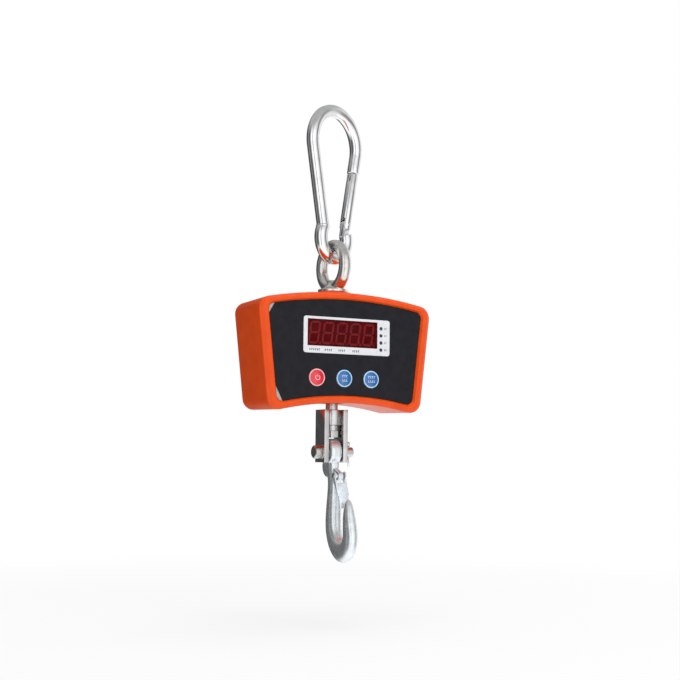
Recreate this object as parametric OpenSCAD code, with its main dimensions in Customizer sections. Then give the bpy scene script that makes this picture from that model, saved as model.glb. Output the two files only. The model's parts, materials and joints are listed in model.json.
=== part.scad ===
// Small hanging crane scale: a snap hook carries an eye bolt, a load cell in a
// fan-shaped casing, and a swivelling fork with an eye hook.
// Origin: inside top of the snap hook. +Z up, +X to the right of the display,
// -Y towards the reader.

/* [Snap hook] */
// Overall length of the snap hook
snap_l = 160; // [150:1:165]
// Overall width at the wide end
snap_w = 80; // [74:1:84]
// Diameter of the bent bar
snap_bar = 12.5; // [12:0.1:13]
// Diameter of the forged small end
end_bar = 13; // [12.6:0.1:13.4]
// Centreline radius of the small end
end_r = 19.5; // [18.5:0.5:21]
// Turn of the snap hook about the vertical
snap_yaw = 24; // [0:1:24]
// Diameter of the gate
gate_d = 11; // [9:0.5:11.5]

/* [Eye bolt] */
// Inside diameter of the ring
ring_id = 30; // [30:0.5:31]
// Diameter of the ring's bar
ring_bar = 12; // [10:0.5:12]
// Height of the ring's centre above the collar's seat
ring_rise = 26; // [25:0.5:28]
// Diameter of the collar
collar_d = 30; // [26:1:32]
// Diameter of the shank and of the swivel rod
shank_d = 12; // [12:1:12]
// Turn of the ring about the vertical
ring_yaw = 5; // [0:1:5]

/* [Casing] */
// Half width of the casing at mid height of its upper half
case_hw = 91; // [88:1:94]
// Inward slope of the casing's sides, in degrees
case_taper = 6.5; // [5:0.5:7]
// Height of the casing along its centre line
case_h = 105.5; // [103:0.5:107]
// Front face to load axis
case_front = 33; // [32:0.5:34]
// Rear face to load axis
case_rear = 34; // [30:0.5:36]
// Radius of the domed top edge
top_r = 425; // [380:5:480]
// Radius of the arched bottom edge
arch_r = 318; // [300:2:360]
// Corner radius of the outline
corner_r = 12; // [10:0.5:13]
// Wall thickness
wall = 3; // [2.5:0.1:3]

/* [Display and buttons] */
// Bezel width
bezel_w = 92.5; // [90:0.5:96]
// Bezel height
bezel_h = 34.6; // [34:0.1:36]
// Window width
window_w = 75; // [74:0.5:76]
// Window height
window_h = 25.6; // [24:0.1:26]
// Diameter of a button cap
button_d = 16.6; // [14:0.1:17]
// Distance between buttons
button_pitch = 29; // [27:0.5:31]

/* [Fork] */
// Width across the two legs
fork_w = 25; // [24:0.5:27]
// Front to back depth
fork_d = 20; // [18:0.5:22]
// Height
fork_h = 50.8; // [49:0.1:52]
// Thickness of a leg
leg_t = 4.7; // [4.5:0.1:4.9]
// Diameter of the cross bolt
bolt_d = 10; // [9:0.5:10]

/* [Hook] */
// Forward lean of the hook about the cross bolt
hook_lean = 15.5; // [0:0.5:16]
// Thickness of the hook's bowl
bowl_t = 14; // [12:0.5:15]
// Thickness of the hook's eye
eye_t = 12; // [10:0.5:14]
// Outside radius of the hook's eye
eye_r = 13; // [12:0.5:13]

/* [Hidden] */
$fn = 64;
slack = 0.05;       // radial running clearance
fit_gap = 0.1;      // clearance round a screwed or seated piece

top_arc_r = (snap_w - snap_bar) / 2;
top_arc_z = snap_bar / 2 - top_arc_r;
end_z = snap_bar - snap_l + end_bar / 2 + end_r;
end_join_a = 31;    // where the bar meets the small end, above its middle
tongue_a = 20;      // where the small end stops below the gate's tongue
join_x = end_r * cos(end_join_a);
join_z = end_z + end_r * sin(end_join_a);
// Slope of the straight arms from the vertical, tangent to the wide end
arm_gap = norm([join_x, top_arc_z - join_z]);
arm_a = asin(top_arc_r / arm_gap) - atan(join_x / (top_arc_z - join_z));
arm_l = sqrt(pow(arm_gap, 2) - pow(top_arc_r, 2));
gate_from = 6.5;    // pivot to the arm's lower end, along the arm
gate_to = 60;       // gate's free end, along the arm
rivet_d = 4;
spring_od = 5.6;

hang_gap = 0.3;
ring_r = (ring_id + ring_bar) / 2;
ring_z = end_z - end_r + end_bar / 2 + hang_gap - ring_id / 2;
seat_z = ring_z - ring_rise;

case_top = seat_z - 2.8;
case_base = case_top - case_h;
wide_z = case_top - 28;
corner_n = 6;       // steps in a corner of the outline
inner_r = 6.5;      // least corner radius of any inner outline
edge_n = 15;        // points along the outline's top and bottom edges
part_y = -case_front + 5;
bevel_w = 4.4;
bevel_d = 3;
rim_w = 4.1;
rim_share = 0.7;    // width of the rim along the top and bottom, as a share of its width at the sides
lip_w = 1.5;
lip_d = 2.4;
panel_t = 0.8;
panel_y = -case_front + lip_d;
plate_t = 2.8;
plate_y = panel_y + panel_t;
panel_in = bevel_w + rim_w + lip_w;
seal_t = 0.6;
rear_y = part_y + seal_t;
spigot_d = 2.6;

bezel_x = 0;
bezel_z = case_top - 41.7;
bezel_t = 0.6;
window_x = bezel_x - bezel_w / 2 + 4 + window_w / 2;
window_z = bezel_z + bezel_h / 2 - 2.3 - window_h / 2;
window_t = 1.2;
lamp_x = bezel_x + bezel_w / 2 - 9.7;
lamp_z = bezel_z + bezel_h / 2 - 8.2;
lamp_pitch = 6.9;
lamp_d = 2.4;
button_x = -2.7;    // middle button, left of the casing's middle
button_z = case_top - 82.1;
button_gap = 0.25;
dome_h = 1.5;
cap_front = panel_y - 0.9;
cap_back = plate_y + plate_t + 0.1;
flange_d = button_d + 2;
flange_t = 1;
board_y = -19.6;
board_t = 1.6;
board_w = 120;
board_h = 76;
board_z = case_top - 48;

post_d = 9;
screw_d = 4;
post_y = -20;
posts = [[-72, case_top - 18], [72, case_top - 18], [-66, case_top - 92], [66, case_top - 92]];

cell_w = 50.8;
cell_h = 63;
cell_d = 19;
cell_top = case_top - 6;
thread_l = 12;
shank_end = cell_top - thread_l + 0.3;
rod_top = cell_top - cell_h + thread_l - 0.3;

battery_x = -46;
battery_z = case_top - 55;
battery_w = 32;
battery_h = 48;
battery_d = 28;
battery_y = -6;
tray_t = 1.2;
door_w = 46;
door_h = 62;
door_t = 2;
socket_x = 40;
socket_z = case_top - 92;
main_x = 50;
main_z = case_top - 56;
main_w = 40;
main_h = 60;
main_y = 6;

fork_z = case_base - 5.5;
fork_base = fork_z - fork_h;
pin_z = fork_base + 10;
boss_h = 14.7;
boss_r = 9;
stud_d = 8;
bush_h = 5.6;
bush_d = 13;
nut_af = 13;
nut_h = 6.4;
head_d = 13;
head_l = 7;
tail_x = 22.3;
cotter_x = 18.5;
cotter_d = 2.6;

eye_bore = bolt_d + 0.15;
bowl_y = 0.5;
bowl_z = -81;
bowl_out = 26.5;
bowl_in = 10;
bite_y = -1.5;
bite_z = -78;
tip_y = -21.8;
tip_z = -57;
tip_r = 5.2;
latch_y = -10.6;
latch_z = -26.2;
latch_pin_d = 4;
latch_w = 12;
latch_t = 1.6;
latch_l = 33;
latch_a = 6.4;
lug_t = 5;
lug_r = 4.4;

// ---------- shared shapes ----------

function arc(c, r, a0, a1, n) =
    [for (k = [0:n]) let (a = a0 + (a1 - a0) * k / n) [c[0] + r * cos(a), c[1] + r * sin(a)]];

// Larger root of p z^2 + 2 q z + s = 0
function root(p, q, s) = (-q + sqrt(q * q - p * s)) / p;

// Point whose distance to the casing's side is side, and to [0, mid] is big
function corner(big, mid, side) =
    let (b = tan(case_taper),
         a = case_hw - wide_z * b - side / cos(case_taper),
         z = root(1 + b * b, a * b - mid, a * a + mid * mid - big * big))
    [a + b * z, z];

// Casing outline in the XZ plane, drawn a distance inside the outer one;
// along the top and bottom edges that distance is multiplied by share
function outline(inset, share = 1) =
    let (top_mid = case_top - top_r,
         arch_mid = case_base - arch_r,
         edge = inset * share,
         r = max(corner_r - inset, inner_r),
         up = corner(top_r - edge - r, top_mid, inset + r),
         low = corner(arch_r + edge + r, arch_mid, inset + r),
         up_a = atan2(up[1] - top_mid, up[0]),
         low_a = atan2(arch_mid - low[1], -low[0]),
         arch_a = low_a + 180,
         right = concat(
             arc(low, r, low_a, -case_taper, corner_n),
             arc(up, r, -case_taper, up_a, corner_n)),
         crown = arc([0, top_mid], top_r - edge, up_a, 180 - up_a, edge_n + 1),
         arch = arc([0, arch_mid], arch_r + edge, 180 - arch_a, arch_a, edge_n + 1),
         left = [for (k = [len(right) - 1:-1:0]) [-right[k][0], right[k][1]]])
    concat(right, [for (k = [1:edge_n]) crown[k]], left, [for (k = [1:edge_n]) arch[k]]);

// The outline's inside as convex pieces: two ends and upright strips between them
function cap_faces() =
    let (side_n = 2 * (corner_n + 1),
         crown = side_n,
         arch = 2 * side_n + edge_n)
    concat(
        [concat([arch + edge_n - 1], [for (k = [0:side_n]) k])],
        [for (k = [0:edge_n - 2])
            [crown + k, crown + k + 1, arch + edge_n - 2 - k, arch + edge_n - 1 - k]],
        [[for (k = [crown + edge_n - 1:arch]) k]]);

// Prism of an outline between two Y values
module slab(inset, y0, y1, share = 1) {
    translate([0, y1, 0])
        rotate([90, 0, 0])
            linear_extrude(y1 - y0)
                polygon(outline(inset, share));
}

// Solid through a series of [y, inset] sections of the casing outline
module loft(sections, share = 1) {
    n = len(outline(0));
    m = len(sections);
    points = [for (s = sections) for (p = outline(s[1], share)) [p[0], s[0], p[1]]];
    sides = [for (j = [0:m - 2]) for (k = [0:n - 1])
        let (a = j * n + k, b = j * n + (k + 1) % n)
        [a, b, b + n, a + n]];
    cap = cap_faces();
    front = [for (f = cap) [for (k = [len(f) - 1:-1:0]) f[k]]];
    back = [for (f = cap) [for (k = f) k + (m - 1) * n]];
    polyhedron(points, concat(front, sides, back), convexity = 6);
}

// Box given by its lowest and highest corners
module block(low, high) {
    translate(low)
        cube(high - low);
}

// Cylinder along +Y from y0 to y1
module rod_y(x, z, d, y0, y1) {
    translate([x, y0, z])
        rotate([-90, 0, 0])
            cylinder(d = d, h = y1 - y0);
}

// Cylinder along +X from x0 to x1
module rod_x(y, z, d, x0, x1) {
    translate([x0, y, z])
        rotate([0, 90, 0])
            cylinder(d = d, h = x1 - x0);
}

module rod_z(x, y, d, z0, z1) {
    translate([x, y, z0])
        cylinder(d = d, h = z1 - z0);
}

// Coil spring along +Z: a six-sided wire swept along a helix
module coil(od, wire, h, turns) {
    sides = 6;
    steps = turns * 12;
    mid = (od - wire) / 2;
    points = [for (k = [0:steps], j = [0:sides - 1])
        let (a = 30 * k, b = 60 * j, r = mid + wire / 2 * cos(b))
        [r * cos(a), r * sin(a), wire / 2 + (h - wire) * k / steps + wire / 2 * sin(b)]];
    skin = [for (k = [0:steps - 1], j = [0:sides - 1])
        let (a = k * sides + j, b = k * sides + (j + 1) % sides)
        [a, a + sides, b + sides, b]];
    start = [for (j = [0:sides - 1]) j];
    finish = [for (j = [sides - 1:-1:0]) steps * sides + j];
    polyhedron(points, concat([start], skin, [finish]), convexity = 8);
}

// ---------- snap hook ----------

module snap_place() {
    rotate([0, 0, snap_yaw])
        children();
}

// Bent bar in the XZ plane: an arc about [0, z], from a0 over a given angle
module bar_arc(z, r, d, a0, sweep) {
    translate([0, 0, z])
        rotate([90, 0, 0])
            rotate([0, 0, a0])
                rotate_extrude(angle = sweep, $fn = 96)
                    translate([r, 0])
                        circle(d = d);
}

// Places children on one arm, +Z running up the arm from its lower end
module arm_place(side) {
    translate([side * join_x, 0, join_z])
        rotate([0, side * arm_a, 0])
            children();
}

module snap_hook_frame() {
    color("gainsboro")
        snap_place()
            difference() {
                union() {
                    bar_arc(top_arc_z, top_arc_r, snap_bar, -arm_a, 180 + 2 * arm_a);
                    bar_arc(end_z, end_r, end_bar, 180 - end_join_a, 180 + end_join_a + tongue_a);
                    arm_place(-1)
                        cylinder(d = snap_bar - 0.4, h = arm_l + 0.5);
                    arm_place(1)
                        translate([0, 0, gate_to + 1])
                            cylinder(d = snap_bar - 0.4, h = arm_l - gate_to - 0.5);
                    // Rounded shoulder where the small end begins
                    translate([-join_x, 0, join_z])
                        sphere(d = end_bar + 0.2);
                    // Nose blade that the gate closes over
                    arm_place(1)
                        block([-4, -2, gate_to - 7], [4, 2, gate_to + 2]);
                    // Tongue that carries the gate's rivet
                    arm_place(1)
                        block([-4.5, -2.4, -7], [4.5, 2.4, gate_from]);
                    arm_place(1)
                        rotate([90, 0, 0])
                            translate([0, gate_from, -2.4])
                                cylinder(r = 4.5, h = 4.8);
                }
                arm_place(1)
                    rotate([90, 0, 0])
                        translate([0, gate_from, -10])
                            cylinder(d = rivet_d + 2 * slack, h = 20);
            }
}

module gate_rivet() {
    color("silver")
        snap_place()
            arm_place(1)
                rotate([90, 0, 0])
                    translate([0, gate_from, -gate_d / 2])
                        cylinder(d = rivet_d, h = gate_d);
}

module snap_gate() {
    color("whitesmoke")
        snap_place()
            arm_place(1)
                difference() {
                    union() {
                        translate([0, 0, gate_from])
                            cylinder(d = gate_d, h = gate_to - gate_from);
                        // Round end about the rivet, trimmed to the gate's round bar
                        intersection() {
                            translate([0, 0, gate_from - 8])
                                cylinder(d = gate_d, h = 10);
                            translate([0, gate_d / 2, gate_from])
                                rotate([90, 0, 0])
                                    cylinder(r = gate_d / 2, h = gate_d);
                        }
                    }
                    // Slot for the tongue
                    block([-8, -2.7, gate_from - 8], [8, 2.7, gate_from + 6]);
                    // Slot for the nose blade
                    block([-8, -2.4, gate_to - 8], [8, 2.4, gate_to + 1]);
                    // Spring bore
                    translate([0, 0, gate_from + 5])
                        cylinder(d = spring_od + 0.6, h = 26);
                    rotate([90, 0, 0])
                        translate([0, gate_from, -8])
                            cylinder(d = rivet_d + 2 * slack, h = 16);
                }
}

module gate_spring() {
    color("dimgray")
        snap_place()
            arm_place(1)
                translate([0, 0, gate_from + 7])
                    coil(spring_od, 0.9, 20, 7);
}

// ---------- eye bolt ----------

module eye_bolt() {
    color("lightgray")
        rotate([0, 0, ring_yaw])
            difference() {
                union() {
                    translate([0, 0, ring_z])
                        rotate([0, 90, 0])
                            rotate_extrude($fn = 96)
                                translate([ring_r, 0])
                                    circle(d = ring_bar);
                    // Collar and flared neck
                    translate([0, 0, seat_z])
                        rotate_extrude()
                            polygon(concat(
                                [[0, 0], [collar_d / 2 - 0.6, 0], [collar_d / 2, 0.6],
                                 [collar_d / 2, 3.4]],
                                arc([collar_d / 2, 12.4], 9, -90, -180, 8),
                                [[5, 12.4], [0, 12.4]]));
                    rod_z(0, 0, shank_d, shank_end, seat_z);
                }
                // Clear the inside of the ring
                translate([0, 0, ring_z])
                    rotate([0, 90, 0])
                        translate([0, 0, -20])
                            cylinder(d = ring_id, h = 40);
            }
}

// ---------- casing ----------

module front_frame() {
    color("orangered")
        difference() {
            union() {
                difference() {
                    loft([[-case_front, bevel_w],
                          [-case_front + bevel_d, 0.4],
                          [-case_front + bevel_d + 0.8, 0],
                          [part_y, 0]], rim_share);
                    loft([[-case_front - 0.01, bevel_w + rim_w],
                          [panel_y, panel_in],
                          [plate_y, panel_in]], rim_share);
                }
                // Back plate with a spigot that centres the rear housing
                difference() {
                    slab(wall + 0.3, part_y - 0.5, part_y + spigot_d);
                    slab(wall + 2.2, plate_y + plate_t, part_y + spigot_d + 1);
                }
                for (p = posts)
                    rod_y(p[0], p[1], post_d, plate_y + 1, post_y);
            }
            for (p = posts)
                rod_y(p[0], p[1], screw_d + 2 * fit_gap, plate_y + plate_t - 1, post_y + 1);
            for (k = [-1:1])
                rod_y(button_x + k * button_pitch, button_z, button_d + 2 * button_gap, -case_front, -20);
            block([window_x - window_w / 2 - 2, panel_y - 1, window_z - window_h / 2 - 2],
                  [window_x + window_w / 2 + 2, -20, window_z + window_h / 2 + 2]);
            for (k = [0:3])
                rod_y(lamp_x, lamp_z - k * lamp_pitch, lamp_d + 0.6, panel_y, -20);
        }
}

module rear_housing() {
    color("orangered")
        difference() {
            union() {
                difference() {
                    loft([[rear_y, 0], [case_rear - 6, 1], [case_rear - 2.8, 1.8],
                          [case_rear - 0.8, 4], [case_rear, 7]]);
                    loft([[rear_y - 1, wall], [case_rear - 6, wall + 0.8],
                          [case_rear - wall, wall + 3]]);
                }
                // Seat for the eye bolt
                rod_z(0, 0, 36, case_top - 2, seat_z);
                for (p = posts)
                    rod_y(p[0], p[1], post_d, post_y, case_rear - wall + 1);
            }
            rod_z(0, 0, shank_d + 1, case_top - 8, seat_z + 1);
            rod_z(0, 0, 22, case_base - 10, case_base + 8);
            for (p = posts) {
                rod_y(p[0], p[1], screw_d + 2 * fit_gap, post_y - 1, case_rear + 1);
                rod_y(p[0], p[1], screw_d * 2, case_rear - 2.6, case_rear + 1);
            }
            // Battery door recess and opening
            block([battery_x - door_w / 2, case_rear - door_t, battery_z - door_h / 2],
                  [battery_x + door_w / 2, case_rear + 1, battery_z + door_h / 2]);
            block([battery_x - battery_w / 2 - 2, case_rear - 5, battery_z - battery_h / 2 - 2],
                  [battery_x + battery_w / 2 + 2, case_rear, battery_z + battery_h / 2 + 2]);
            for (s = [-1, 1])
                rod_y(battery_x, battery_z + s * (door_h / 2 - 2.6), 2.7, case_rear - 6, case_rear);
            rod_y(socket_x, socket_z, 11 + 2 * fit_gap, case_rear - 5, case_rear + 1);
        }
}

module case_seal() {
    color("black")
        difference() {
            slab(0.7, part_y, rear_y);
            slab(wall, part_y - 1, rear_y + 1);
        }
}

// Pan-head screw along -Y, its head's outer face at y
module screw_y(x, z, d, y, l) {
    difference() {
        union() {
            rod_y(x, z, d * 1.85, y - 2, y);
            rod_y(x, z, d, y - l, y - 1);
        }
        for (a = [0, 90])
            translate([x, y, z])
                rotate([0, a, 0])
                    cube([d, 2, 0.8], center = true);
    }
}

module case_screws() {
    color("silver")
        for (p = posts)
            screw_y(p[0], p[1], screw_d, case_rear - 0.6, case_rear + 22);
}

module membrane_panel() {
    color("darkslategray")
        difference() {
            slab(panel_in + 0.2, panel_y, plate_y, rim_share);
            for (k = [-1:1])
                rod_y(button_x + k * button_pitch, button_z, button_d + 2 * button_gap, -case_front, -20);
            block([window_x - window_w / 2, panel_y - 1, window_z - window_h / 2],
                  [window_x + window_w / 2, plate_y + 1, window_z + window_h / 2]);
            for (k = [0:3])
                rod_y(lamp_x, lamp_z - k * lamp_pitch, lamp_d + 2 * fit_gap, -case_front, -20);
        }
}

module display_bezel() {
    color("gainsboro")
        difference() {
            union() {
                block([bezel_x - bezel_w / 2 + 1.5, panel_y - bezel_t, bezel_z - bezel_h / 2],
                      [bezel_x + bezel_w / 2 - 1.5, panel_y, bezel_z + bezel_h / 2]);
                block([bezel_x - bezel_w / 2, panel_y - bezel_t, bezel_z - bezel_h / 2 + 1.5],
                      [bezel_x + bezel_w / 2, panel_y, bezel_z + bezel_h / 2 - 1.5]);
                for (sx = [-1, 1], sz = [-1, 1])
                    rod_y(bezel_x + sx * (bezel_w / 2 - 1.5), bezel_z + sz * (bezel_h / 2 - 1.5),
                          3, panel_y - bezel_t, panel_y);
            }
            block([window_x - window_w / 2, panel_y - 2, window_z - window_h / 2],
                  [window_x + window_w / 2, panel_y + 1, window_z + window_h / 2]);
            for (k = [0:3])
                rod_y(lamp_x, lamp_z - k * lamp_pitch, lamp_d + 2 * fit_gap, -case_front, -20);
        }
}

module display_window() {
    color("darkred", 0.8)
        block([window_x - window_w / 2 + 0.1, panel_y + panel_t - window_t, window_z - window_h / 2 + 0.1],
              [window_x + window_w / 2 - 0.1, plate_y, window_z + window_h / 2 - 0.1]);
}

// Five seven-segment digits on a common block
module digit_module() {
    cell = 14.4;
    seg = 1.5;
    color("firebrick")
        union() {
            block([window_x - window_w / 2 - 1, plate_y + 0.6, window_z - window_h / 2 - 1],
                  [window_x + window_w / 2 + 1, board_y, window_z + window_h / 2 + 1]);
            for (k = [-2:2])
                for (sz = [-1:1])
                    translate([window_x + k * cell + sz * 0.8, plate_y + 0.6, window_z + sz * 8])
                        cube([7, 0.6, seg], center = true);
        }
}

module indicator_lamps() {
    color("black")
        for (k = [0:3])
            rod_y(lamp_x, lamp_z - k * lamp_pitch, lamp_d, panel_y - bezel_t - 0.3, board_y);
}

// Domed push button with a retaining flange behind the plate
module push_button(x) {
    dome_r = (pow(button_d / 2, 2) + pow(dome_h, 2)) / (2 * dome_h);
    translate([button_x + x, 0, button_z])
        rotate([90, 0, 0])
            rotate_extrude()
                polygon(concat(
                    [[0, -cap_back - flange_t], [flange_d / 2, -cap_back - flange_t],
                     [flange_d / 2, -cap_back], [button_d / 2, -cap_back],
                     [button_d / 2, -cap_front]],
                    arc([0, -cap_front + dome_h - dome_r], dome_r,
                        90 - asin(button_d / 2 / dome_r) + 2, 90, 8)));
}

module power_button() {
    color("crimson")
        push_button(-button_pitch);
}

module hold_button() {
    color("royalblue")
        push_button(0);
}

module tare_button() {
    color("royalblue")
        push_button(button_pitch);
}

// ---------- inside the casing ----------

module button_switches() {
    color("black")
        for (k = [-1:1])
            union() {
                block([button_x + k * button_pitch - 3, -24, button_z - 3],
                      [button_x + k * button_pitch + 3, board_y, button_z + 3]);
                rod_y(button_x + k * button_pitch, button_z, 3.4, -25, -23);
            }
}

module display_board() {
    color("darkgreen")
        block([-board_w / 2, board_y, board_z - board_h / 2],
              [board_w / 2, board_y + board_t, board_z + board_h / 2]);
}

module main_board() {
    color("darkgreen")
        union() {
            block([main_x - main_w / 2, main_y, main_z - main_h / 2],
                  [main_x + main_w / 2, main_y + board_t, main_z + main_h / 2]);
            block([main_x - 8, main_y - 1.8, main_z - 2], [main_x + 8, main_y, main_z + 14]);
            block([main_x - 14, main_y - 1.6, main_z + 19], [main_x - 4, main_y, main_z + 24]);
        }
}

module board_pillars() {
    color("goldenrod")
        for (sx = [-1, 1], sz = [-1, 1])
            rod_y(main_x + sx * 15, main_z + sz * 26, 5, main_y + board_t, case_rear - wall);
}

module buzzer() {
    color("black")
        difference() {
            rod_y(main_x + 8, main_z - 18, 12, main_y - 7.5, main_y);
            rod_y(main_x + 8, main_z - 18, 2, main_y - 8, main_y - 5);
        }
}

// S-shaped load cell with its two bending slots
module load_cell() {
    low = cell_top - cell_h;
    color("lightsteelblue")
        difference() {
            block([-cell_w / 2, -cell_d / 2, low], [cell_w / 2, cell_d / 2, cell_top]);
            block([-cell_w, -cell_d, cell_top - 19], [cell_w / 2 - 10, cell_d, cell_top - 15.5]);
            block([-cell_w / 2 + 10, -cell_d, low + 15.5], [cell_w, cell_d, low + 19]);
            rod_y(0, cell_top - cell_h / 2, 16, -cell_d, cell_d);
            rod_z(0, 0, shank_d + 2 * fit_gap, cell_top - thread_l, cell_top + 1);
            rod_z(0, 0, shank_d + 2 * fit_gap, low - 1, low + thread_l);
        }
}

module swivel_rod() {
    color("silver")
        union() {
            rod_z(0, 0, shank_d, fork_z + 0.2, rod_top);
            rod_z(0, 0, stud_d, fork_z - boss_h - bush_h - nut_h - 0.2, fork_z + 1);
        }
}

module hex_nut(af, bore, z, h) {
    translate([0, 0, z])
        difference() {
            cylinder(d = af / cos(30), h = h, $fn = 6);
            translate([0, 0, -1])
                cylinder(d = bore + 2 * fit_gap, h = h + 2);
        }
}

module rod_locknut() {
    color("silver")
        hex_nut(19, shank_d, cell_top - cell_h - 6, 6);
}

module thrust_bush() {
    color("silver")
        difference() {
            rod_z(0, 0, bush_d, fork_z - boss_h - bush_h - 0.1, fork_z - boss_h - 0.1);
            rod_z(0, 0, stud_d + 2 * fit_gap, fork_z - boss_h - bush_h - 1, fork_z - boss_h + 1);
        }
}

module swivel_nut() {
    color("silver")
        hex_nut(nut_af, stud_d, fork_z - boss_h - bush_h - nut_h - 0.1, nut_h);
}

module battery() {
    color("steelblue")
        block([battery_x - battery_w / 2, battery_y, battery_z - battery_h / 2],
              [battery_x + battery_w / 2, battery_y + battery_d, battery_z + battery_h / 2]);
}

module battery_tray() {
    color("dimgray")
        difference() {
            block([battery_x - battery_w / 2 - 1.7, battery_y - 1.4, battery_z - battery_h / 2 - 1.7],
                  [battery_x + battery_w / 2 + 1.7, case_rear - wall, battery_z + battery_h / 2 + 1.7]);
            block([battery_x - battery_w / 2 - 1.7 + tray_t, battery_y - 0.2,
                   battery_z - battery_h / 2 - 1.7 + tray_t],
                  [battery_x + battery_w / 2 + 1.7 - tray_t, case_rear,
                   battery_z + battery_h / 2 + 1.7 - tray_t]);
        }
}

module battery_door() {
    color("orangered")
        difference() {
            block([battery_x - door_w / 2 + 0.3, case_rear - door_t, battery_z - door_h / 2 + 0.3],
                  [battery_x + door_w / 2 - 0.3, case_rear, battery_z + door_h / 2 - 0.3]);
            for (s = [-1, 1])
                rod_y(battery_x, battery_z + s * (door_h / 2 - 2.6), 2.7, case_rear - 6, case_rear + 1);
        }
}

module door_screws() {
    color("silver")
        for (s = [-1, 1])
            translate([battery_x, 0, battery_z + s * (door_h / 2 - 2.6)])
                union() {
                    rod_y(0, 0, 4.6, case_rear, case_rear + 1.2);
                    rod_y(0, 0, 2.5, case_rear - 5, case_rear + 0.5);
                }
}

module charging_socket() {
    color("black")
        difference() {
            union() {
                rod_y(socket_x, socket_z, 11, case_rear - 13, case_rear);
                rod_y(socket_x, socket_z, 14, case_rear, case_rear + 1.4);
            }
            rod_y(socket_x, socket_z, 6, case_rear - 9, case_rear + 2);
        }
}

module socket_cap() {
    color("black")
        union() {
            rod_y(socket_x, socket_z, 5.8, case_rear - 5, case_rear + 1.4);
            rod_y(socket_x, socket_z, 12, case_rear + 1.4, case_rear + 3);
        }
}

// ---------- fork ----------

module swivel_fork() {
    color("silver")
        difference() {
            union() {
                for (s = [-1, 1])
                    translate([s * (fork_w - leg_t) / 2, 0, fork_base + fork_h / 2])
                        cube([leg_t, fork_d, fork_h], center = true);
                rod_z(0, 0, boss_r * 2, fork_z - boss_h, fork_z);
            }
            rod_z(0, 0, stud_d + 2 * slack, fork_z - boss_h - 1, fork_z + 1);
            rod_x(0, pin_z, bolt_d + 2 * slack, -fork_w, fork_w);
        }
}

module cross_bolt() {
    color("silver")
        difference() {
            union() {
                rod_x(0, pin_z, bolt_d, -fork_w / 2 - 1, tail_x);
                translate([-fork_w / 2, 0, pin_z])
                    rotate([0, -90, 0])
                        rotate_extrude()
                            polygon([[0, 0], [head_d / 2, 0], [head_d / 2, head_l - 0.8],
                                     [head_d / 2 - 0.8, head_l], [0, head_l]]);
            }
            rod_z(cotter_x, 0, cotter_d + 2 * fit_gap, pin_z - bolt_d, pin_z + bolt_d);
        }
}

module split_pin() {
    eye_z = pin_z + bolt_d / 2 + 2.4;
    color("gray")
        union() {
            translate([cotter_x, 0, eye_z])
                rotate([0, 90, 0])
                    rotate_extrude($fn = 32)
                        translate([2, 0])
                            circle(d = 1.5);
            rod_z(cotter_x, 0, cotter_d, pin_z - bolt_d / 2 - 1.5, eye_z - 1.6);
            for (s = [-1, 1])
                translate([cotter_x, s * 0.6, pin_z - bolt_d / 2 - 1])
                    rotate([180 + s * 10, 0, 0])
                        cylinder(d = 1.3, h = 9);
        }
}

// ---------- hook, drawn upright about its own eye ----------

module hook_place() {
    translate([0, 0, pin_z])
        rotate([-hook_lean, 0, 0])
            children();
}

// Extrudes a YZ profile to a given thickness about X = 0
module plate_x(t) {
    rotate([90, 0, 90])
        translate([0, 0, -t / 2])
            linear_extrude(t)
                children();
}

// Side profile of the bowl, back arm and shank, a given distance inside
module hook_profile(i) {
    difference() {
        union() {
            translate([bowl_y, bowl_z])
                circle(r = bowl_out - i);
            // Shank and back arm
            polygon([[-6 + i, -4], [-6 + i, -36], [-2 + i, -52], [2, -80], [26 - i, -80],
                     [24.6 - i, -68], [19 - i, -55], [11 - i, -42], [7 - i, -30], [7 - i, -4]]);
            // Point
            polygon([[tip_y - tip_r + i, tip_z], [-26 + i, -81], [-8, -88], [tip_y + tip_r - i, tip_z]]);
            translate([tip_y, tip_z])
                circle(r = tip_r - i);
        }
        translate([bite_y, bite_z])
            circle(r = bowl_in + i);
        // Throat
        polygon([[bite_y + (bowl_in + i), bite_z], [-1.5 + i, -52], [-5.5 + i, -36], [-9, -30],
                 [tip_y + tip_r - i, -44], [tip_y + tip_r - i, tip_z], [bite_y - (bowl_in + i), bite_z]]);
    }
}

module hook_body() {
    color("lightsteelblue")
        hook_place()
            difference() {
                union() {
                    plate_x(bowl_t - 5)
                        hook_profile(0);
                    plate_x(bowl_t - 2)
                        hook_profile(1);
                    plate_x(bowl_t)
                        hook_profile(2.4);
                    // Eye
                    rotate([0, 90, 0])
                        rotate_extrude()
                            polygon([[0, -eye_t / 2], [eye_r - 1.6, -eye_t / 2],
                                     [eye_r, -eye_t / 2 + 1.6], [eye_r, eye_t / 2 - 1.6],
                                     [eye_r - 1.6, eye_t / 2], [0, eye_t / 2]]);
                    // Lug for the latch
                    plate_x(lug_t)
                        union() {
                            translate([latch_y, latch_z])
                                circle(r = lug_r);
                            polygon([[0, -14], [latch_y - 2, latch_z + 4], [latch_y + 2, latch_z - 4.2],
                                     [0, -36]]);
                        }
                }
                rod_x(0, 0, eye_bore, -20, 20);
                rod_x(latch_y, latch_z, latch_pin_d + 2 * fit_gap, -20, 20);
                // Flats beside the lug, where the latch's cheeks swing
                for (s = [-1, 1])
                    translate([s * (lug_t / 2 + 5), latch_y, latch_z])
                        rotate([0, 90, 0])
                            cylinder(r = lug_r + 1.6, h = 10, center = true);
            }
}

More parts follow.
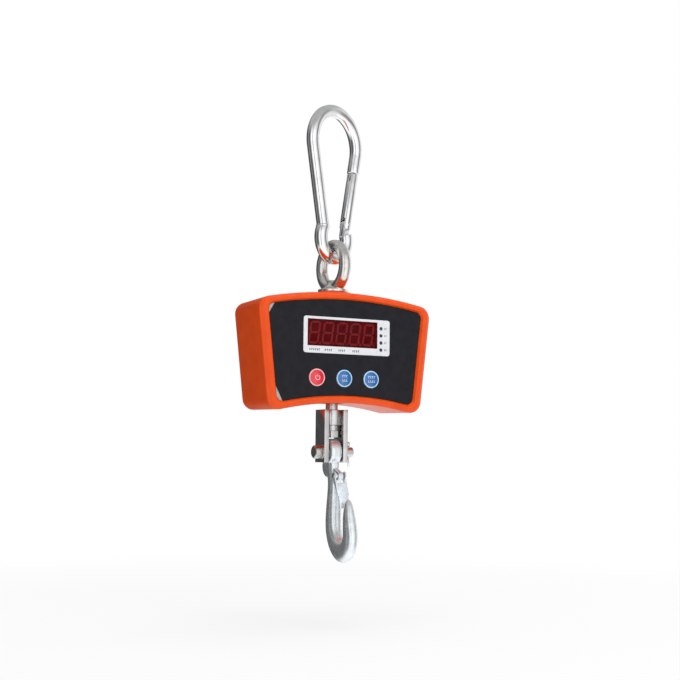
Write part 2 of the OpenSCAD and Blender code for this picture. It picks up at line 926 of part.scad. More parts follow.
// Sheet-metal latch: two cheeks on the pin and a tongue that shuts the throat
module hook_latch() {
    cheek = 1.4;
    color("whitesmoke")
        hook_place()
            translate([0, latch_y, latch_z])
                rotate([-latch_a, 0, 0])
                    difference() {
                        union() {
                            for (s = [-1, 1])
                                translate([s * (latch_w - cheek) / 2, 0, 0])
                                    plate_x(cheek)
                                        union() {
                                            circle(r = 4);
                                            polygon([[-latch_t, 0], [-latch_t, -13], [0, -16],
                                                     [3.6, -4], [4, 0]]);
                                        }
                            block([-latch_w / 2, -latch_t, -latch_l], [latch_w / 2, 0, -7.5]);
                        }
                        rod_x(0, 0, latch_pin_d + 2 * slack, -20, 20);
                        // Narrowing towards the free end
                        for (s = [-1, 1])
                            translate([s * (latch_w / 2 + 3.4), 0, -latch_l])
                                rotate([0, s * -7, 0])
                                    cube([6, 20, 26], center = true);
                    }
}

module latch_pin() {
    color("silver")
        hook_place()
            rod_x(latch_y, latch_z, latch_pin_d, -latch_w / 2 - 0.8, latch_w / 2 + 0.8);
}

module latch_spring() {
    color("gray")
        hook_place()
            translate([lug_t / 2 + 0.4, latch_y, latch_z])
                rotate([0, 90, 0])
                    coil(6.4, 0.45, 1.6, 2);
}

snap_hook_frame();
gate_rivet();
snap_gate();
gate_spring();
eye_bolt();
front_frame();
rear_housing();
case_seal();
case_screws();
membrane_panel();
display_bezel();
display_window();
digit_module();
indicator_lamps();
power_button();
hold_button();
tare_button();
button_switches();
display_board();
main_board();
board_pillars();
buzzer();
load_cell();
swivel_rod();
rod_locknut();
thrust_bush();
swivel_nut();
battery();
battery_tray();
battery_door();
door_screws();
charging_socket();
socket_cap();
swivel_fork();
cross_bolt();
split_pin();
hook_body();
hook_latch();
latch_pin();
latch_spring();
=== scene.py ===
"""Looks of a small hanging crane scale. Lengths are in millimetres unless a comment says otherwise."""

import json
import math

import bmesh
import bpy
from mathutils import Matrix, Vector

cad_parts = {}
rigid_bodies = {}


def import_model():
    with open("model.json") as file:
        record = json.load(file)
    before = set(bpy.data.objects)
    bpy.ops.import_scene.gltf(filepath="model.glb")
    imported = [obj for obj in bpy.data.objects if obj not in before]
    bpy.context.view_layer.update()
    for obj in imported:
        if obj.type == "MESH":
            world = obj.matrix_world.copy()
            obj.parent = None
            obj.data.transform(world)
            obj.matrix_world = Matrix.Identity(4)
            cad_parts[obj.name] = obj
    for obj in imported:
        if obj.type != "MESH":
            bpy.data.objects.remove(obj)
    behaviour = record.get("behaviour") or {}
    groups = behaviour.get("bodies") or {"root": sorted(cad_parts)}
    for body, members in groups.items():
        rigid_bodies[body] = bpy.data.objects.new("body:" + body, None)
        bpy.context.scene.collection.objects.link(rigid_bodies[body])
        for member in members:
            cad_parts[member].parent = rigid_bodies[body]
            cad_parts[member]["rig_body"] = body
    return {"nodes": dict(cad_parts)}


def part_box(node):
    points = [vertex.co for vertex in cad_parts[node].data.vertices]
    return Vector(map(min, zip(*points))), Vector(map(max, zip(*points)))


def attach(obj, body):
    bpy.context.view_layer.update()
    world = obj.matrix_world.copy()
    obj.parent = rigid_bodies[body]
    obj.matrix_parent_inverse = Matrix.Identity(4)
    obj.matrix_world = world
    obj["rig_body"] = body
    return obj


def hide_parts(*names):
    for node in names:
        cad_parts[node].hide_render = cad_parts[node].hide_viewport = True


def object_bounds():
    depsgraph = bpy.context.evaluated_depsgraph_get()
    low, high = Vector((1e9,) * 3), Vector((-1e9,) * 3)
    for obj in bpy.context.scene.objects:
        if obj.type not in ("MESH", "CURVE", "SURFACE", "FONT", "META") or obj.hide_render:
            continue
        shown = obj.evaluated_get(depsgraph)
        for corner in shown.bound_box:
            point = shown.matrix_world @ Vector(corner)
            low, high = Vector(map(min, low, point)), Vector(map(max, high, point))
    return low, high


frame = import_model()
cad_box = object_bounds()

MM = 0.001
nodes = frame["nodes"]


# ---------- camera, lights and floor ----------

CAMERA_AZIMUTH = -27.0
CAMERA_DISTANCE = 1188.0
CAMERA_HEIGHT = -327.8
CAMERA_PITCH = 5.14
CAMERA_SIDE = 0.35      # aimed right of the load axis, degrees
CAMERA_ROLL = 0.6
CAMERA_LENS = 64.75     # on a 36 mm sensor
LIGHT_AIM = Vector((0, 0, -220))        # on the load axis, in the casing
STUDIO_STRENGTH = 1.3
STUDIO_BANDS = [        # share of the turn from -X by way of -Y, and the brightness there
    (0.0, 0.12), (0.05, 0.10), (0.07, 0.75), (0.12, 1.0), (0.15, 1.0), (0.163, 0.15), (0.175, 0.15),
    (0.19, 1.0), (0.29, 1.0), (0.32, 0.75), (0.36, 0.6), (0.39, 0.2), (0.44, 0.25), (0.48, 0.7),
    (0.685, 0.8), (0.70, 0.08), (0.9, 0.06), (0.93, 0.4), (0.95, 0.08), (1.0, 0.12)]
STUDIO_FADES = ((1, 0.38), (-1, 0.95))  # above and below the horizon, and the brightness there
FADE_FROM = 0.35        # the height of a unit direction where its band starts to fade
FADE_TO = 0.75
FLOOR_HALF = 20000.0
FLOOR_THICK = 10.0
FLOOR_DROP = 60.0       # below the hook
FLOOR_NEAR = 100.0      # from here to FLOOR_FAR the floor fades into the white backdrop
FLOOR_FAR = 800.0


def add_object(name, data):
    thing = bpy.data.objects.new(name, data)
    bpy.context.scene.collection.objects.link(thing)
    return thing


def make_camera():
    data = bpy.data.cameras.new("camera")
    data.lens = CAMERA_LENS
    data.sensor_width = 36.0
    data.clip_start = 0.05
    camera = add_object("camera", data)
    azimuth = math.radians(CAMERA_AZIMUTH)
    place = Vector((math.sin(azimuth), -math.cos(azimuth), 0)) * CAMERA_DISTANCE
    place.z = CAMERA_HEIGHT
    turn = math.radians(CAMERA_SIDE - CAMERA_AZIMUTH)
    pitch = math.radians(CAMERA_PITCH)
    level = Vector((math.sin(turn), math.cos(turn), 0)) * math.cos(pitch)
    ahead = level + Vector((0, 0, math.sin(pitch)))
    right = ahead.cross(Vector((0, 0, 1))).normalized()
    axes = Matrix((right, right.cross(ahead), -ahead)).transposed().to_4x4()
    roll = Matrix.Rotation(math.radians(CAMERA_ROLL), 4, "Z")
    camera.matrix_world = Matrix.Translation(place * MM) @ axes @ roll
    bpy.context.scene.camera = camera


def area_light(name, place, size, power):
    """A soft box aimed at the casing; its power is in watts."""
    data = bpy.data.lights.new(name, "AREA")
    data.shape = "RECTANGLE"
    data.size = size[0] * MM
    data.size_y = size[1] * MM
    data.energy = power
    light = add_object(name, data)
    light.location = Vector(place) * MM
    ahead = LIGHT_AIM - Vector(place)
    light.rotation_euler = ahead.to_track_quat("-Z", "Y").to_euler()
    light.visible_glossy = False


def make_world():
    """White to the camera, and to all else a studio: bright sides, dark gaps between them."""
    world = bpy.data.worlds.new("studio")
    bpy.context.scene.world = world
    world.use_nodes = True
    tree = world.node_tree
    new, link = tree.nodes.new, tree.links.new
    seen = tree.nodes["Background"]
    seen.inputs["Color"].default_value = (1, 1, 1, 1)
    seen.inputs["Strength"].default_value = 1.0
    studio = new("ShaderNodeBackground")
    studio.inputs["Strength"].default_value = STUDIO_STRENGTH
    where = new("ShaderNodeTexCoord")
    apart = new("ShaderNodeSeparateXYZ")
    link(where.outputs["Generated"], apart.inputs[0])
    turn = new("ShaderNodeMath")
    turn.operation = "ARCTAN2"
    link(apart.outputs["Y"], turn.inputs[0])
    link(apart.outputs["X"], turn.inputs[1])
    share = new("ShaderNodeMapRange")
    share.inputs["From Min"].default_value = -math.pi
    share.inputs["From Max"].default_value = math.pi
    link(turn.outputs[0], share.inputs["Value"])
    bands = new("ShaderNodeValToRGB")
    link(share.outputs["Result"], bands.inputs["Fac"])
    ramp = bands.color_ramp
    for place, level in STUDIO_BANDS[1:-1]:
        ramp.elements.new(place)
    for element, (place, level) in zip(ramp.elements, STUDIO_BANDS):
        element.position = place
        element.color = (level, level, level, 1)
    last = bands.outputs["Color"]
    for sign, level in STUDIO_FADES:
        fade = new("ShaderNodeMapRange")
        fade.inputs["From Min"].default_value = sign * FADE_FROM
        fade.inputs["From Max"].default_value = sign * FADE_TO
        link(apart.outputs["Z"], fade.inputs["Value"])
        blend = new("ShaderNodeMix")
        blend.data_type = "RGBA"
        blend.inputs["B"].default_value = (level, level, level, 1)
        link(fade.outputs["Result"], blend.inputs["Factor"])
        link(last, blend.inputs["A"])
        last = blend.outputs["Result"]
    link(last, studio.inputs["Color"])
    ray = new("ShaderNodeLightPath")
    choose = new("ShaderNodeMixShader")
    link(ray.outputs["Is Camera Ray"], choose.inputs["Fac"])
    link(studio.outputs[0], choose.inputs[1])
    link(seen.outputs[0], choose.inputs[2])
    link(choose.outputs[0], tree.nodes["World Output"].inputs["Surface"])


make_camera()
area_light("key", (500, -1400, 500), (900, 900), 7.5)
area_light("fill", (-1300, -600, 100), (500, 1100), 2.6)
area_light("top", (100, -100, 900), (900, 700), 7)
make_world()
bpy.context.scene.view_settings.view_transform = "Standard"


# ---------- materials ----------

class Look:
    """A Principled material and the few procedural textures that drive it, in object coordinates."""

    def __init__(self, name, colour, rough, metal=0.0, **sockets):
        self.material = bpy.data.materials.new(name)
        self.material.use_nodes = True
        self.tree = self.material.node_tree
        self.shader = self.tree.nodes["Principled BSDF"]
        self.shader.inputs["Base Color"].default_value = (*colour, 1)
        self.shader.inputs["Roughness"].default_value = rough
        self.shader.inputs["Metallic"].default_value = metal
        for socket, value in sockets.items():
            self.shader.inputs[socket.replace("_", " ")].default_value = value
        self.material.diffuse_color = (*colour, 1)
        self.place = self.tree.nodes.new("ShaderNodeTexCoord").outputs["Object"]

    def node(self, kind, **inputs):
        made = self.tree.nodes.new(kind)
        for socket, value in inputs.items():
            self.feed(made.inputs[socket.replace("_", " ")], value)
        return made

    def feed(self, socket, value):
        if isinstance(value, bpy.types.NodeSocket):
            self.tree.links.new(value, socket)
        else:
            socket.default_value = value

    def grain(self, size, detail=3.0, stretch=(1, 1, 1)):
        """Noise whose features are about size millimetres across."""
        spread = self.node("ShaderNodeMapping", Vector=self.place, Scale=stretch)
        noise = self.node("ShaderNodeTexNoise", Vector=spread.outputs[0], Scale=1 / (size * MM),
                          Detail=detail)
        return noise.outputs["Fac"]

    def span(self, source, low, high, start=0.3, end=0.7):
        """Stretches a texture's middle range to low...high."""
        ranged = self.node("ShaderNodeMapRange", Value=source, From_Min=start, From_Max=end, To_Min=low,
                           To_Max=high)
        return ranged.outputs["Result"]

    def tint(self, source, dark, light, start=0.3, end=0.7):
        """The base colour runs from dark to light with a texture."""
        ramp = self.node("ShaderNodeValToRGB", Fac=source)
        for element, place, colour in zip(ramp.color_ramp.elements, (start, end), (dark, light)):
            element.position = place
            element.color = (*colour, 1)
        self.feed(self.shader.inputs["Base Color"], ramp.outputs["Color"])
        return self

    def polish(self, source, low, high):
        """The roughness runs from low to high with a texture."""
        self.feed(self.shader.inputs["Roughness"], self.span(source, low, high))
        return self

    def relief(self, *layers):
        """Bump layers of (texture, depth in millimetres), one over the other."""
        below = None
        for source, depth in layers:
            bump = self.node("ShaderNodeBump", Height=source, Distance=depth * MM)
            if below is not None:
                self.tree.links.new(below, bump.inputs["Normal"])
            below = bump.outputs["Normal"]
        self.tree.links.new(below, self.shader.inputs["Normal"])
        return self


def noisy(name, base, tint, polish, *bumps, **sockets):
    """A material whose textures are all noise, each given as grain's own values.

    base is (colour, roughness, metallic), tint is (noise, dark, light), polish is (noise, low, high)
    or None, and each bump is (noise, depth).
    """
    look = Look(name, *base, **sockets)
    look.tint(look.grain(*tint[0]), *tint[1:])
    if polish:
        look.polish(look.grain(*polish[0]), *polish[1:])
    return look.relief(*[(look.grain(*noise), depth) for noise, depth in bumps]).material


def gloss_plastic(name, dark, light, rough=0.14):
    return noisy(name, (light, rough, 0.0), ((3, 3), dark, light), ((0.8, 3), rough * 0.8, rough * 1.3),
                 ((1.5, 2), 0.004), Coat_Weight=0.8, Coat_Roughness=0.05)


def dull_plastic(name, dark, light, rough=0.55, depth=0.02):
    return noisy(name, (light, rough, 0.0), ((3, 4), dark, light),
                 ((0.7, 3), rough * 0.85, rough * 1.15), ((0.35, 3), depth))


def circuit_mask():
    look = Look("circuit_mask", (0.02, 0.14, 0.05), 0.35, 0.0, Coat_Weight=0.3)
    tracks = look.grain(2.2, 0, (1, 0.2, 1))
    look.tint(tracks, (0.012, 0.10, 0.035), (0.03, 0.20, 0.07), 0.46, 0.54)
    return look.relief((tracks, 0.02)).material


def pale_floor():
    """White paper; far from the scale it glows as white as the backdrop, so that no horizon shows."""
    look = Look("pale_floor", (0.9, 0.9, 0.9), 0.8)
    far = look.node("ShaderNodeVectorMath", Vector=look.place)
    far.operation = "LENGTH"
    glow = look.span(far.outputs["Value"], 0.7, 1.0, FLOOR_NEAR * MM, FLOOR_FAR * MM)
    light = look.node("ShaderNodeEmission", Color=(1, 1, 1, 1))
    mixed = look.node("ShaderNodeMixShader", Fac=glow)
    look.tree.links.new(look.shader.outputs[0], mixed.inputs[1])
    look.tree.links.new(light.outputs[0], mixed.inputs[2])
    look.tree.links.new(mixed.outputs[0], look.tree.nodes["Material Output"].inputs["Surface"])
    return look.material


DRAWN = (0.5, 2, (1, 1, 0.08))     # fine lines along a drawn bar
BRUSHED = (0.4, 2, (0.06, 1, 1))
LOOKS = {
    "zinc_steel": noisy(
        "bright_zinc", ((0.72, 0.73, 0.74), 0.2, 1.0), ((9, 4), (0.74, 0.75, 0.76), (0.90, 0.90, 0.91)),
        (DRAWN, 0.07, 0.18), ((4, 2), 0.016), (DRAWN, 0.003)),
    "spring_steel": noisy(
        "spring_wire", ((0.32, 0.33, 0.35), 0.35, 1.0), ((3, 3), (0.26, 0.26, 0.28), (0.40, 0.41, 0.43)),
        None, ((0.4, 2), 0.01)),
    "forged_steel": noisy(
        "satin_steel", ((0.62, 0.61, 0.59), 0.3, 1.0), ((5, 5), (0.66, 0.65, 0.63), (0.86, 0.85, 0.83)),
        ((1.5, 4), 0.16, 0.30), ((4, 3), 0.03), ((0.4, 2), 0.004)),
    "orange_paint": noisy(
        "orange_enamel", ((0.74, 0.068, 0.002), 0.4, 0.0),
        ((14, 4), (0.70, 0.060, 0.001), (0.77, 0.076, 0.003)), ((1.2, 3), 0.32, 0.42),
        ((1.8, 2), 0.018), ((0.35, 2), 0.003),
        Specular_IOR_Level=0.18, Coat_Weight=0.18, Coat_Roughness=0.16),
    "rubber_black": dull_plastic(
        "black_rubber", (0.018, 0.018, 0.018), (0.032, 0.032, 0.032), 0.7, 0.04),
    "membrane": noisy(
        "dark_film", ((0.014, 0.014, 0.018), 0.45, 0.0),
        ((7, 4), (0.012, 0.012, 0.015), (0.017, 0.017, 0.021)), ((0.6, 3), 0.36, 0.5),
        ((0.22, 2), 0.006), Specular_IOR_Level=0.1),
    "bezel": noisy(
        "pale_plastic", ((0.66, 0.68, 0.71), 0.38, 0.0),
        ((6, 4), (0.63, 0.65, 0.68), (0.70, 0.72, 0.75)), ((0.5, 3), 0.32, 0.46), ((0.25, 2), 0.004)),
    "red_filter": noisy(
        "red_filter", ((0.16, 0.001, 0.002), 0.3, 0.0),
        ((9, 3), (0.13, 0.0008, 0.0015), (0.19, 0.0015, 0.003)), None,
        ((5, 2), 0.004), Alpha=0.45, Specular_IOR_Level=0.08),
    "led_block": noisy(
        "digit_block", ((0.10, 0.002, 0.003), 0.6, 0.0),
        ((4, 3), (0.08, 0.001, 0.002), (0.13, 0.003, 0.004)), None, ((0.4, 2), 0.01)),
    "lamp_black": gloss_plastic("lamp_lens", (0.012, 0.010, 0.010), (0.022, 0.018, 0.018)),
    "button_red": gloss_plastic("red_button", (0.60, 0.006, 0.018), (0.74, 0.012, 0.03)),
    "button_blue": gloss_plastic("blue_button", (0.008, 0.10, 0.32), (0.014, 0.14, 0.42)),
    "circuit_board": circuit_mask(),
    "component_black": dull_plastic("component_black", (0.02, 0.02, 0.02), (0.04, 0.04, 0.04)),
    "brass": noisy(
        "yellow_brass", ((0.70, 0.48, 0.20), 0.28, 1.0),
        ((3, 3), (0.62, 0.41, 0.15), (0.78, 0.56, 0.26)), None, ((0.5, 2, (1, 1, 6)), 0.01)),
    "cell_alloy": noisy(
        "brushed_alloy", ((0.66, 0.68, 0.70), 0.34, 1.0),
        (BRUSHED, (0.58, 0.60, 0.62), (0.74, 0.76, 0.78)), (BRUSHED, 0.28, 0.42), (BRUSHED, 0.01)),
    "battery_wrap": dull_plastic("battery_wrap", (0.03, 0.10, 0.26), (0.05, 0.15, 0.34), 0.35, 0.01),
    "tray_plastic": dull_plastic("tray_plastic", (0.04, 0.04, 0.045), (0.07, 0.07, 0.075)),
    "chrome": noisy(
        "polished_chrome", ((0.60, 0.59, 0.59), 0.2, 1.0),
        ((12, 3), (0.52, 0.50, 0.50), (0.68, 0.67, 0.67)), ((2, 4), 0.16, 0.26), ((4, 2), 0.02)),
    "hook_steel": noisy(
        "galvanised_steel", ((0.80, 0.84, 0.88), 0.3, 0.8),
        ((6, 5), (0.72, 0.76, 0.80), (0.88, 0.92, 0.95)), ((4, 3), 0.24, 0.34), ((7, 2), 0.03)),
}
INK = noisy(
    "printing_ink", ((0.05, 0.05, 0.06), 0.5, 0.0), ((0.5, 3), (0.03, 0.03, 0.035), (0.09, 0.09, 0.10)),
    None, ((0.2, 2), 0.003))
SEGMENTS = noisy(
    "digit_segment", ((0.80, 0.06, 0.08), 0.4, 0.0), ((1.5, 3), (0.86, 0.07, 0.10), (1.0, 0.14, 0.18)),
    None, ((0.3, 2), 0.006))
LATCH_LOOK = noisy(
    "latch_steel", ((0.80, 0.86, 0.92), 0.3, 0.55), ((4, 3), (0.74, 0.80, 0.87), (0.84, 0.90, 0.96)),
    ((3, 3), 0.26, 0.34), ((6, 2), 0.002))
# The button rings are lighter copies of the button colours: a painted highlight of the rings' raised
# edges.
RED_RING_HIGHLIGHT = gloss_plastic("red_button_ring", (0.72, 0.30, 0.34), (0.86, 0.46, 0.50))
BLUE_RING_HIGHLIGHT = gloss_plastic("blue_button_ring", (0.30, 0.52, 0.72), (0.46, 0.68, 0.86))
# A pale grey backing that shows only at the film's snipped corners: a painted reflection of the lip's
# glossy corner.
BACKING_PAINTED_GLINT = dull_plastic("panel_backing_painted_glint", (0.36, 0.33, 0.31), (0.52, 0.49, 0.46), 0.6, 0.01)
LEGEND = gloss_plastic("button_legend", (0.62, 0.66, 0.74), (0.78, 0.82, 0.88), 0.3)

node_slot = {}
for name, node in nodes.items():
    node_slot[name] = node.material_slots[0].material.name.split(".")[0]
    for held in node.material_slots:
        held.material = LOOKS[node_slot[name]]


# ---------- mesh helpers ----------

def mesh_object(name, points, faces):
    """An object from points in millimetres, its faces turned outwards."""
    mesh = bpy.data.meshes.new(name)
    mesh.from_pydata([Vector(p) * MM for p in points], [], faces)
    shape = bmesh.new()
    shape.from_mesh(mesh)
    bmesh.ops.remove_doubles(shape, verts=shape.verts, dist=1e-7)
    bmesh.ops.recalc_face_normals(shape, faces=shape.faces)
    many_sided = [face for face in shape.faces if len(face.verts) > 4]
    bmesh.ops.triangulate(shape, faces=many_sided)
    shape.to_mesh(mesh)
    shape.free()
    return add_object(name, mesh)


def skin(name, rings, loop=False):
    """A closed solid through a row of rings with equally many points."""
    count = len(rings[0])
    last = len(rings)
    faces = []
    for i in range(last if loop else last - 1):
        a, b = i * count, (i + 1) % last * count
        faces += [(a + k, a + (k + 1) % count, b + (k + 1) % count, b + k) for k in range(count)]
    if not loop:
        faces += [tuple(range(count - 1, -1, -1)), tuple(range((last - 1) * count, last * count))]
    return mesh_object(name, [p for ring in rings for p in ring], faces)


def frame_of(axis):
    """Two directions across an axis."""
    along = Vector(axis).normalized()
    side = along.cross(Vector((0, 0, 1)) if abs(along.z) < 0.9 else Vector((0, 1, 0))).normalized()
    return side, along.cross(side)


def lathe(name, profile, centre, axis, steps=64):
    """Turns a profile of (radius, height) about an axis through centre; a radius of zero closes it."""
    side, other = frame_of(axis)
    along = Vector(axis).normalized()
    turns = [2 * math.pi * k / steps for k in range(steps)]
    rings = []
    for radius, height in profile:
        middle = Vector(centre) + along * height
        rings.append([middle + side * radius * math.cos(t) + other * radius * math.sin(t)
                      for t in turns])
    return skin(name, rings)


def lathe_ring(name, profile, centre, axis, steps=64):
    """Turns a closed profile that stays off the axis."""
    side, other = frame_of(axis)
    along = Vector(axis).normalized()
    rings = []
    for k in range(steps):
        t = 2 * math.pi * k / steps
        out = side * math.cos(t) + other * math.sin(t)
        rings.append([Vector(centre) + along * height + out * radius for radius, height in profile])
    return skin(name, rings, loop=True)


def rounded(profile, steps=5):
    """Rounds a profile of (a, b, radius) corners; its two ends stay as they are."""
    result = [Vector(profile[0][:2])]
    for before, here, after in zip(profile, profile[1:], profile[2:]):
        corner, radius = Vector(here[:2]), here[2]
        back = (Vector(before[:2]) - corner).normalized()
        ahead = (Vector(after[:2]) - corner).normalized()
        half = back.angle(ahead) / 2
        if radius <= 0 or half > 1.55:
            result.append(corner)
            continue
        inward = (back + ahead).normalized()
        centre = corner + inward * radius / math.sin(half)
        start = (corner + back * radius / math.tan(half) - centre).normalized()
        end = (corner + ahead * radius / math.tan(half) - centre).normalized()
        result += [centre + start.slerp(end, k / steps) * radius for k in range(steps + 1)]
    result.append(Vector(profile[-1][:2]))
    return [tuple(p) for p in result]


def box_object(name, low, high):
    low, high = Vector(low), Vector(high)
    x, y, z = ((low[i], high[i]) for i in range(3))
    rings = [[(x[0], y[0], h), (x[1], y[0], h), (x[1], y[1], h), (x[0], y[1], h)] for h in z]
    return skin(name, rings)


def rod_object(name, start, axis, radius, length, steps=48):
    return lathe(name, [(0, 0), (radius, 0), (radius, length), (0, length)], start, axis, steps)


def apply_modifiers(thing):
    graph = bpy.context.evaluated_depsgraph_get()
    mesh = bpy.data.meshes.new_from_object(thing.evaluated_get(graph))
    thing.modifiers.clear()
    thing.data = mesh
    return thing


def combine(thing, tools, operation):
    """Adds the tools to a solid or takes them from it; the tools are used up."""
    for tool in tools:
        step = thing.modifiers.new("combine", "BOOLEAN")
        step.operation = operation
        step.solver = "MANIFOLD"
        step.object = tool
        apply_modifiers(thing)
        bpy.data.objects.remove(tool)
    return thing


def cut(thing, *tools):
    return combine(thing, tools, "DIFFERENCE")


def weld(thing, *tools):
    return combine(thing, tools, "UNION")


def soften(thing, width, segments=3, angle=40):
    """Rounds the sharp edges."""
    shape = bmesh.new()
    shape.from_mesh(thing.data)
    bmesh.ops.dissolve_limit(shape, angle_limit=math.radians(0.5), verts=shape.verts, edges=shape.edges)
    shape.to_mesh(thing.data)
    shape.free()
    bevel = thing.modifiers.new("soften", "BEVEL")
    bevel.width = width * MM
    bevel.segments = segments
    bevel.limit_method = "ANGLE"
    bevel.angle_limit = math.radians(angle)
    bevel.use_clamp_overlap = True
    return apply_modifiers(thing)


def forge(thing, grid, passes):
    """Blends joined solids into one skin, as hot forging does."""
    remesh = thing.modifiers.new("forge", "REMESH")
    remesh.mode = "VOXEL"
    remesh.voxel_size = grid * MM
    smooth = thing.modifiers.new("smooth", "SMOOTH")
    smooth.factor = 0.5
    smooth.iterations = passes
    return apply_modifiers(thing)


def node_box(node):
    """The low and high corners of a CAD node in millimetres."""
    return [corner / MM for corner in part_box(node)]


def copy_of(node, name):
    """A loose copy of a CAD node's shape, to be worked on."""
    source = nodes[node]
    points = [source.matrix_world @ vertex.co / MM for vertex in source.data.vertices]
    return mesh_object(name, points, [tuple(face.vertices) for face in source.data.polygons])


def sweep(name, path, plane, sizes, loop=False, steps=48, power=2.0):
    """A bar along a flat path.

    plane is the path's normal, and sizes are (half width in the path's plane, half depth across it).
    """
    rings = []
    last = len(path) - 1
    for k, (point, (wide, deep)) in enumerate(zip(path, sizes)):
        before = path[k - 1] if loop or k else path[0]
        after = path[(k + 1) % len(path)] if loop or k < last else path[last]
        across = (after - before).cross(plane).normalized()
        ring = []
        for j in range(steps):
            c, s = math.cos(2 * math.pi * j / steps), math.sin(2 * math.pi * j / steps)
            a = math.copysign(abs(c) ** (2 / power), c) * wide
            b = math.copysign(abs(s) ** (2 / power), s) * deep
            ring.append(point + across * a + plane * b)
        rings.append(ring)
    return skin(name, rings, loop)


def prism(name, shape, place, near, far):
    """Extrudes a flat shape; place(a, b, c) is the point at a, b in its plane and c across it."""
    return skin(name, [[place(a, b, c) for a, b in shape] for c in (near, far)])


def round_plate(name, centre, size, radius, profile, steps=8):
    """A plate with round corners that faces the reader; the profile is (y, inset)."""
    rings = []
    for y, inset in profile:
        half_w, half_h, r = size[0] / 2 - inset, size[1] / 2 - inset, max(radius - inset, 0.1)
        ring = []
        for k, (sx, sz) in enumerate(((1, 1), (-1, 1), (-1, -1), (1, -1))):
            middle = (centre[0] + sx * (half_w - r), centre[1] + sz * (half_h - r))
            ring += arc(middle, r, k * math.pi / 2, (k + 1) * math.pi / 2, steps)
        rings.append([(x, y, z) for x, z in ring])
    return skin(name, rings)


def join(name, things):
    """Puts separate solids into one object without welding them."""
    shape = bmesh.new()
    for thing in things:
        shape.from_mesh(thing.data)
        bpy.data.objects.remove(thing)
    mesh = bpy.data.meshes.new(name)
    shape.to_mesh(mesh)
    shape.free()
    return add_object(name, mesh)


def finish(piece, body, material, replaced=(), angle=32):
    """Shades a finished piece, gives it its material and body, and hides the CAD nodes it replaces."""
    mesh = piece.data
    mesh.materials.clear()
    mesh.materials.append(material)
    mesh.shade_smooth()
    mesh.set_sharp_from_angle(angle=math.radians(angle))
    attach(piece, body)
    if replaced:
        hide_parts(*replaced)
    return piece


def finish_as(piece, node, material=None, angle=32):
    """Finishes a piece that stands for one CAD node."""
    slot = node_slot[node]
    return finish(piece, nodes[node]["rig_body"], material or LOOKS[slot], (node,), angle)


def softened(node, name, width, segments=2, angle=40, material=None):
    """A piece with a CAD node's own shape, its sharp edges rounded."""
    return finish_as(soften(copy_of(node, name), width, segments, angle), node, material)


# ---------- casing ----------

TOP_RADIUS = 425.0
ARCH_RADIUS = 318.0
CASE_TAPER = math.radians(6.5)
CORNER_RADIUS = 12.0
CORNER_STEPS = 12
EDGE_STEPS = 48

front_low, front_high = node_box("front_frame")
CASE_TOP = front_high.z     # apex of the casing's top edge
CASE_BASE = CASE_TOP - 105.5        # apex of its arched bottom edge
HALF_WIDTH = 91.0
WIDE_Z = CASE_TOP - 28      # where HALF_WIDTH is measured
INNER_RADIUS = 6.5      # least corner radius of any inner outline
RIM_SHARE = 0.7         # the front's insets along its top and bottom, as a share of those at its sides
RIM_Y = front_low.y
PARTING_Y = RIM_Y + 5   # where the front frame meets the rear housing


def corner_centre(big, middle, side):
    """The point whose distance to the casing's side is side, and to (0, middle) is big."""
    lean = math.tan(CASE_TAPER)
    reach = HALF_WIDTH - WIDE_Z * lean - side / math.cos(CASE_TAPER)
    p, q, s = 1 + lean * lean, reach * lean - middle, reach * reach + middle * middle - big * big
    z = (-q + math.sqrt(q * q - p * s)) / p
    return reach + lean * z, z


def arc(centre, radius, start, end, steps):
    """Points on an arc, from one angle to another in radians, both ends in."""
    angles = [start + (end - start) * k / steps for k in range(steps + 1)]
    return [(centre[0] + radius * math.cos(a), centre[1] + radius * math.sin(a)) for a in angles]


def outline(inset, y):
    """The casing's outline at one depth, drawn a distance inside the outer one."""
    top_middle = CASE_TOP - TOP_RADIUS
    arch_middle = CASE_BASE - ARCH_RADIUS
    edge = inset * (RIM_SHARE if y < PARTING_Y - 0.5 else 1)
    radius = max(CORNER_RADIUS - inset, INNER_RADIUS)
    up = corner_centre(TOP_RADIUS - edge - radius, top_middle, inset + radius)
    low = corner_centre(ARCH_RADIUS + edge + radius, arch_middle, inset + radius)
    up_angle = math.atan2(up[1] - top_middle, up[0])
    low_angle = math.atan2(arch_middle - low[1], -low[0])
    arch_angle = low_angle + math.pi
    right = arc(low, radius, low_angle, -CASE_TAPER, CORNER_STEPS)
    right += arc(up, radius, -CASE_TAPER, up_angle, CORNER_STEPS)
    crown = arc((0, top_middle), TOP_RADIUS - edge, up_angle, math.pi - up_angle, EDGE_STEPS)
    arch = arc((0, arch_middle), ARCH_RADIUS + edge, math.pi - arch_angle, arch_angle, EDGE_STEPS)
    left = [(-x, z) for x, z in reversed(right)]
    ring = right + crown[1:-1] + left + arch[1:-1]
    return [(x, y, z) for x, z in ring]


def loft(name, profile):
    """A solid through casing outlines; the profile is (y, inset)."""
    return skin(name, [outline(inset, y) for y, inset in profile])


SEAT_Y = RIM_Y + 3.2        # the face that the front panel is stuck to
SPIGOT_Y = PARTING_Y + 2.6      # back of the front frame's step into the housing
BUTTON_Z = CASE_TOP - 82.1
BUTTON_X = (-31.7, -2.7, 26.3)
BUTTON_HOLE = 8.55
window_low, window_high = node_box("display_window")
lamps_low, lamps_high = node_box("indicator_lamps")
LAMP_COUNT = 4
LAMP_RADIUS = 1.2
LAMP_HOLE = 1.3
LAMP_X = (lamps_low.x + lamps_high.x) / 2
LAMP_PITCH = (lamps_high.z - lamps_low.z - 2 * LAMP_RADIUS) / (LAMP_COUNT - 1)
LAMP_Z = [lamps_low.z + LAMP_RADIUS + k * LAMP_PITCH for k in range(LAMP_COUNT)]


def button_cutters():
    return [rod_object("cutter", (x, RIM_Y - 5, BUTTON_Z), (0, 1, 0), BUTTON_HOLE, 20) for x in BUTTON_X]


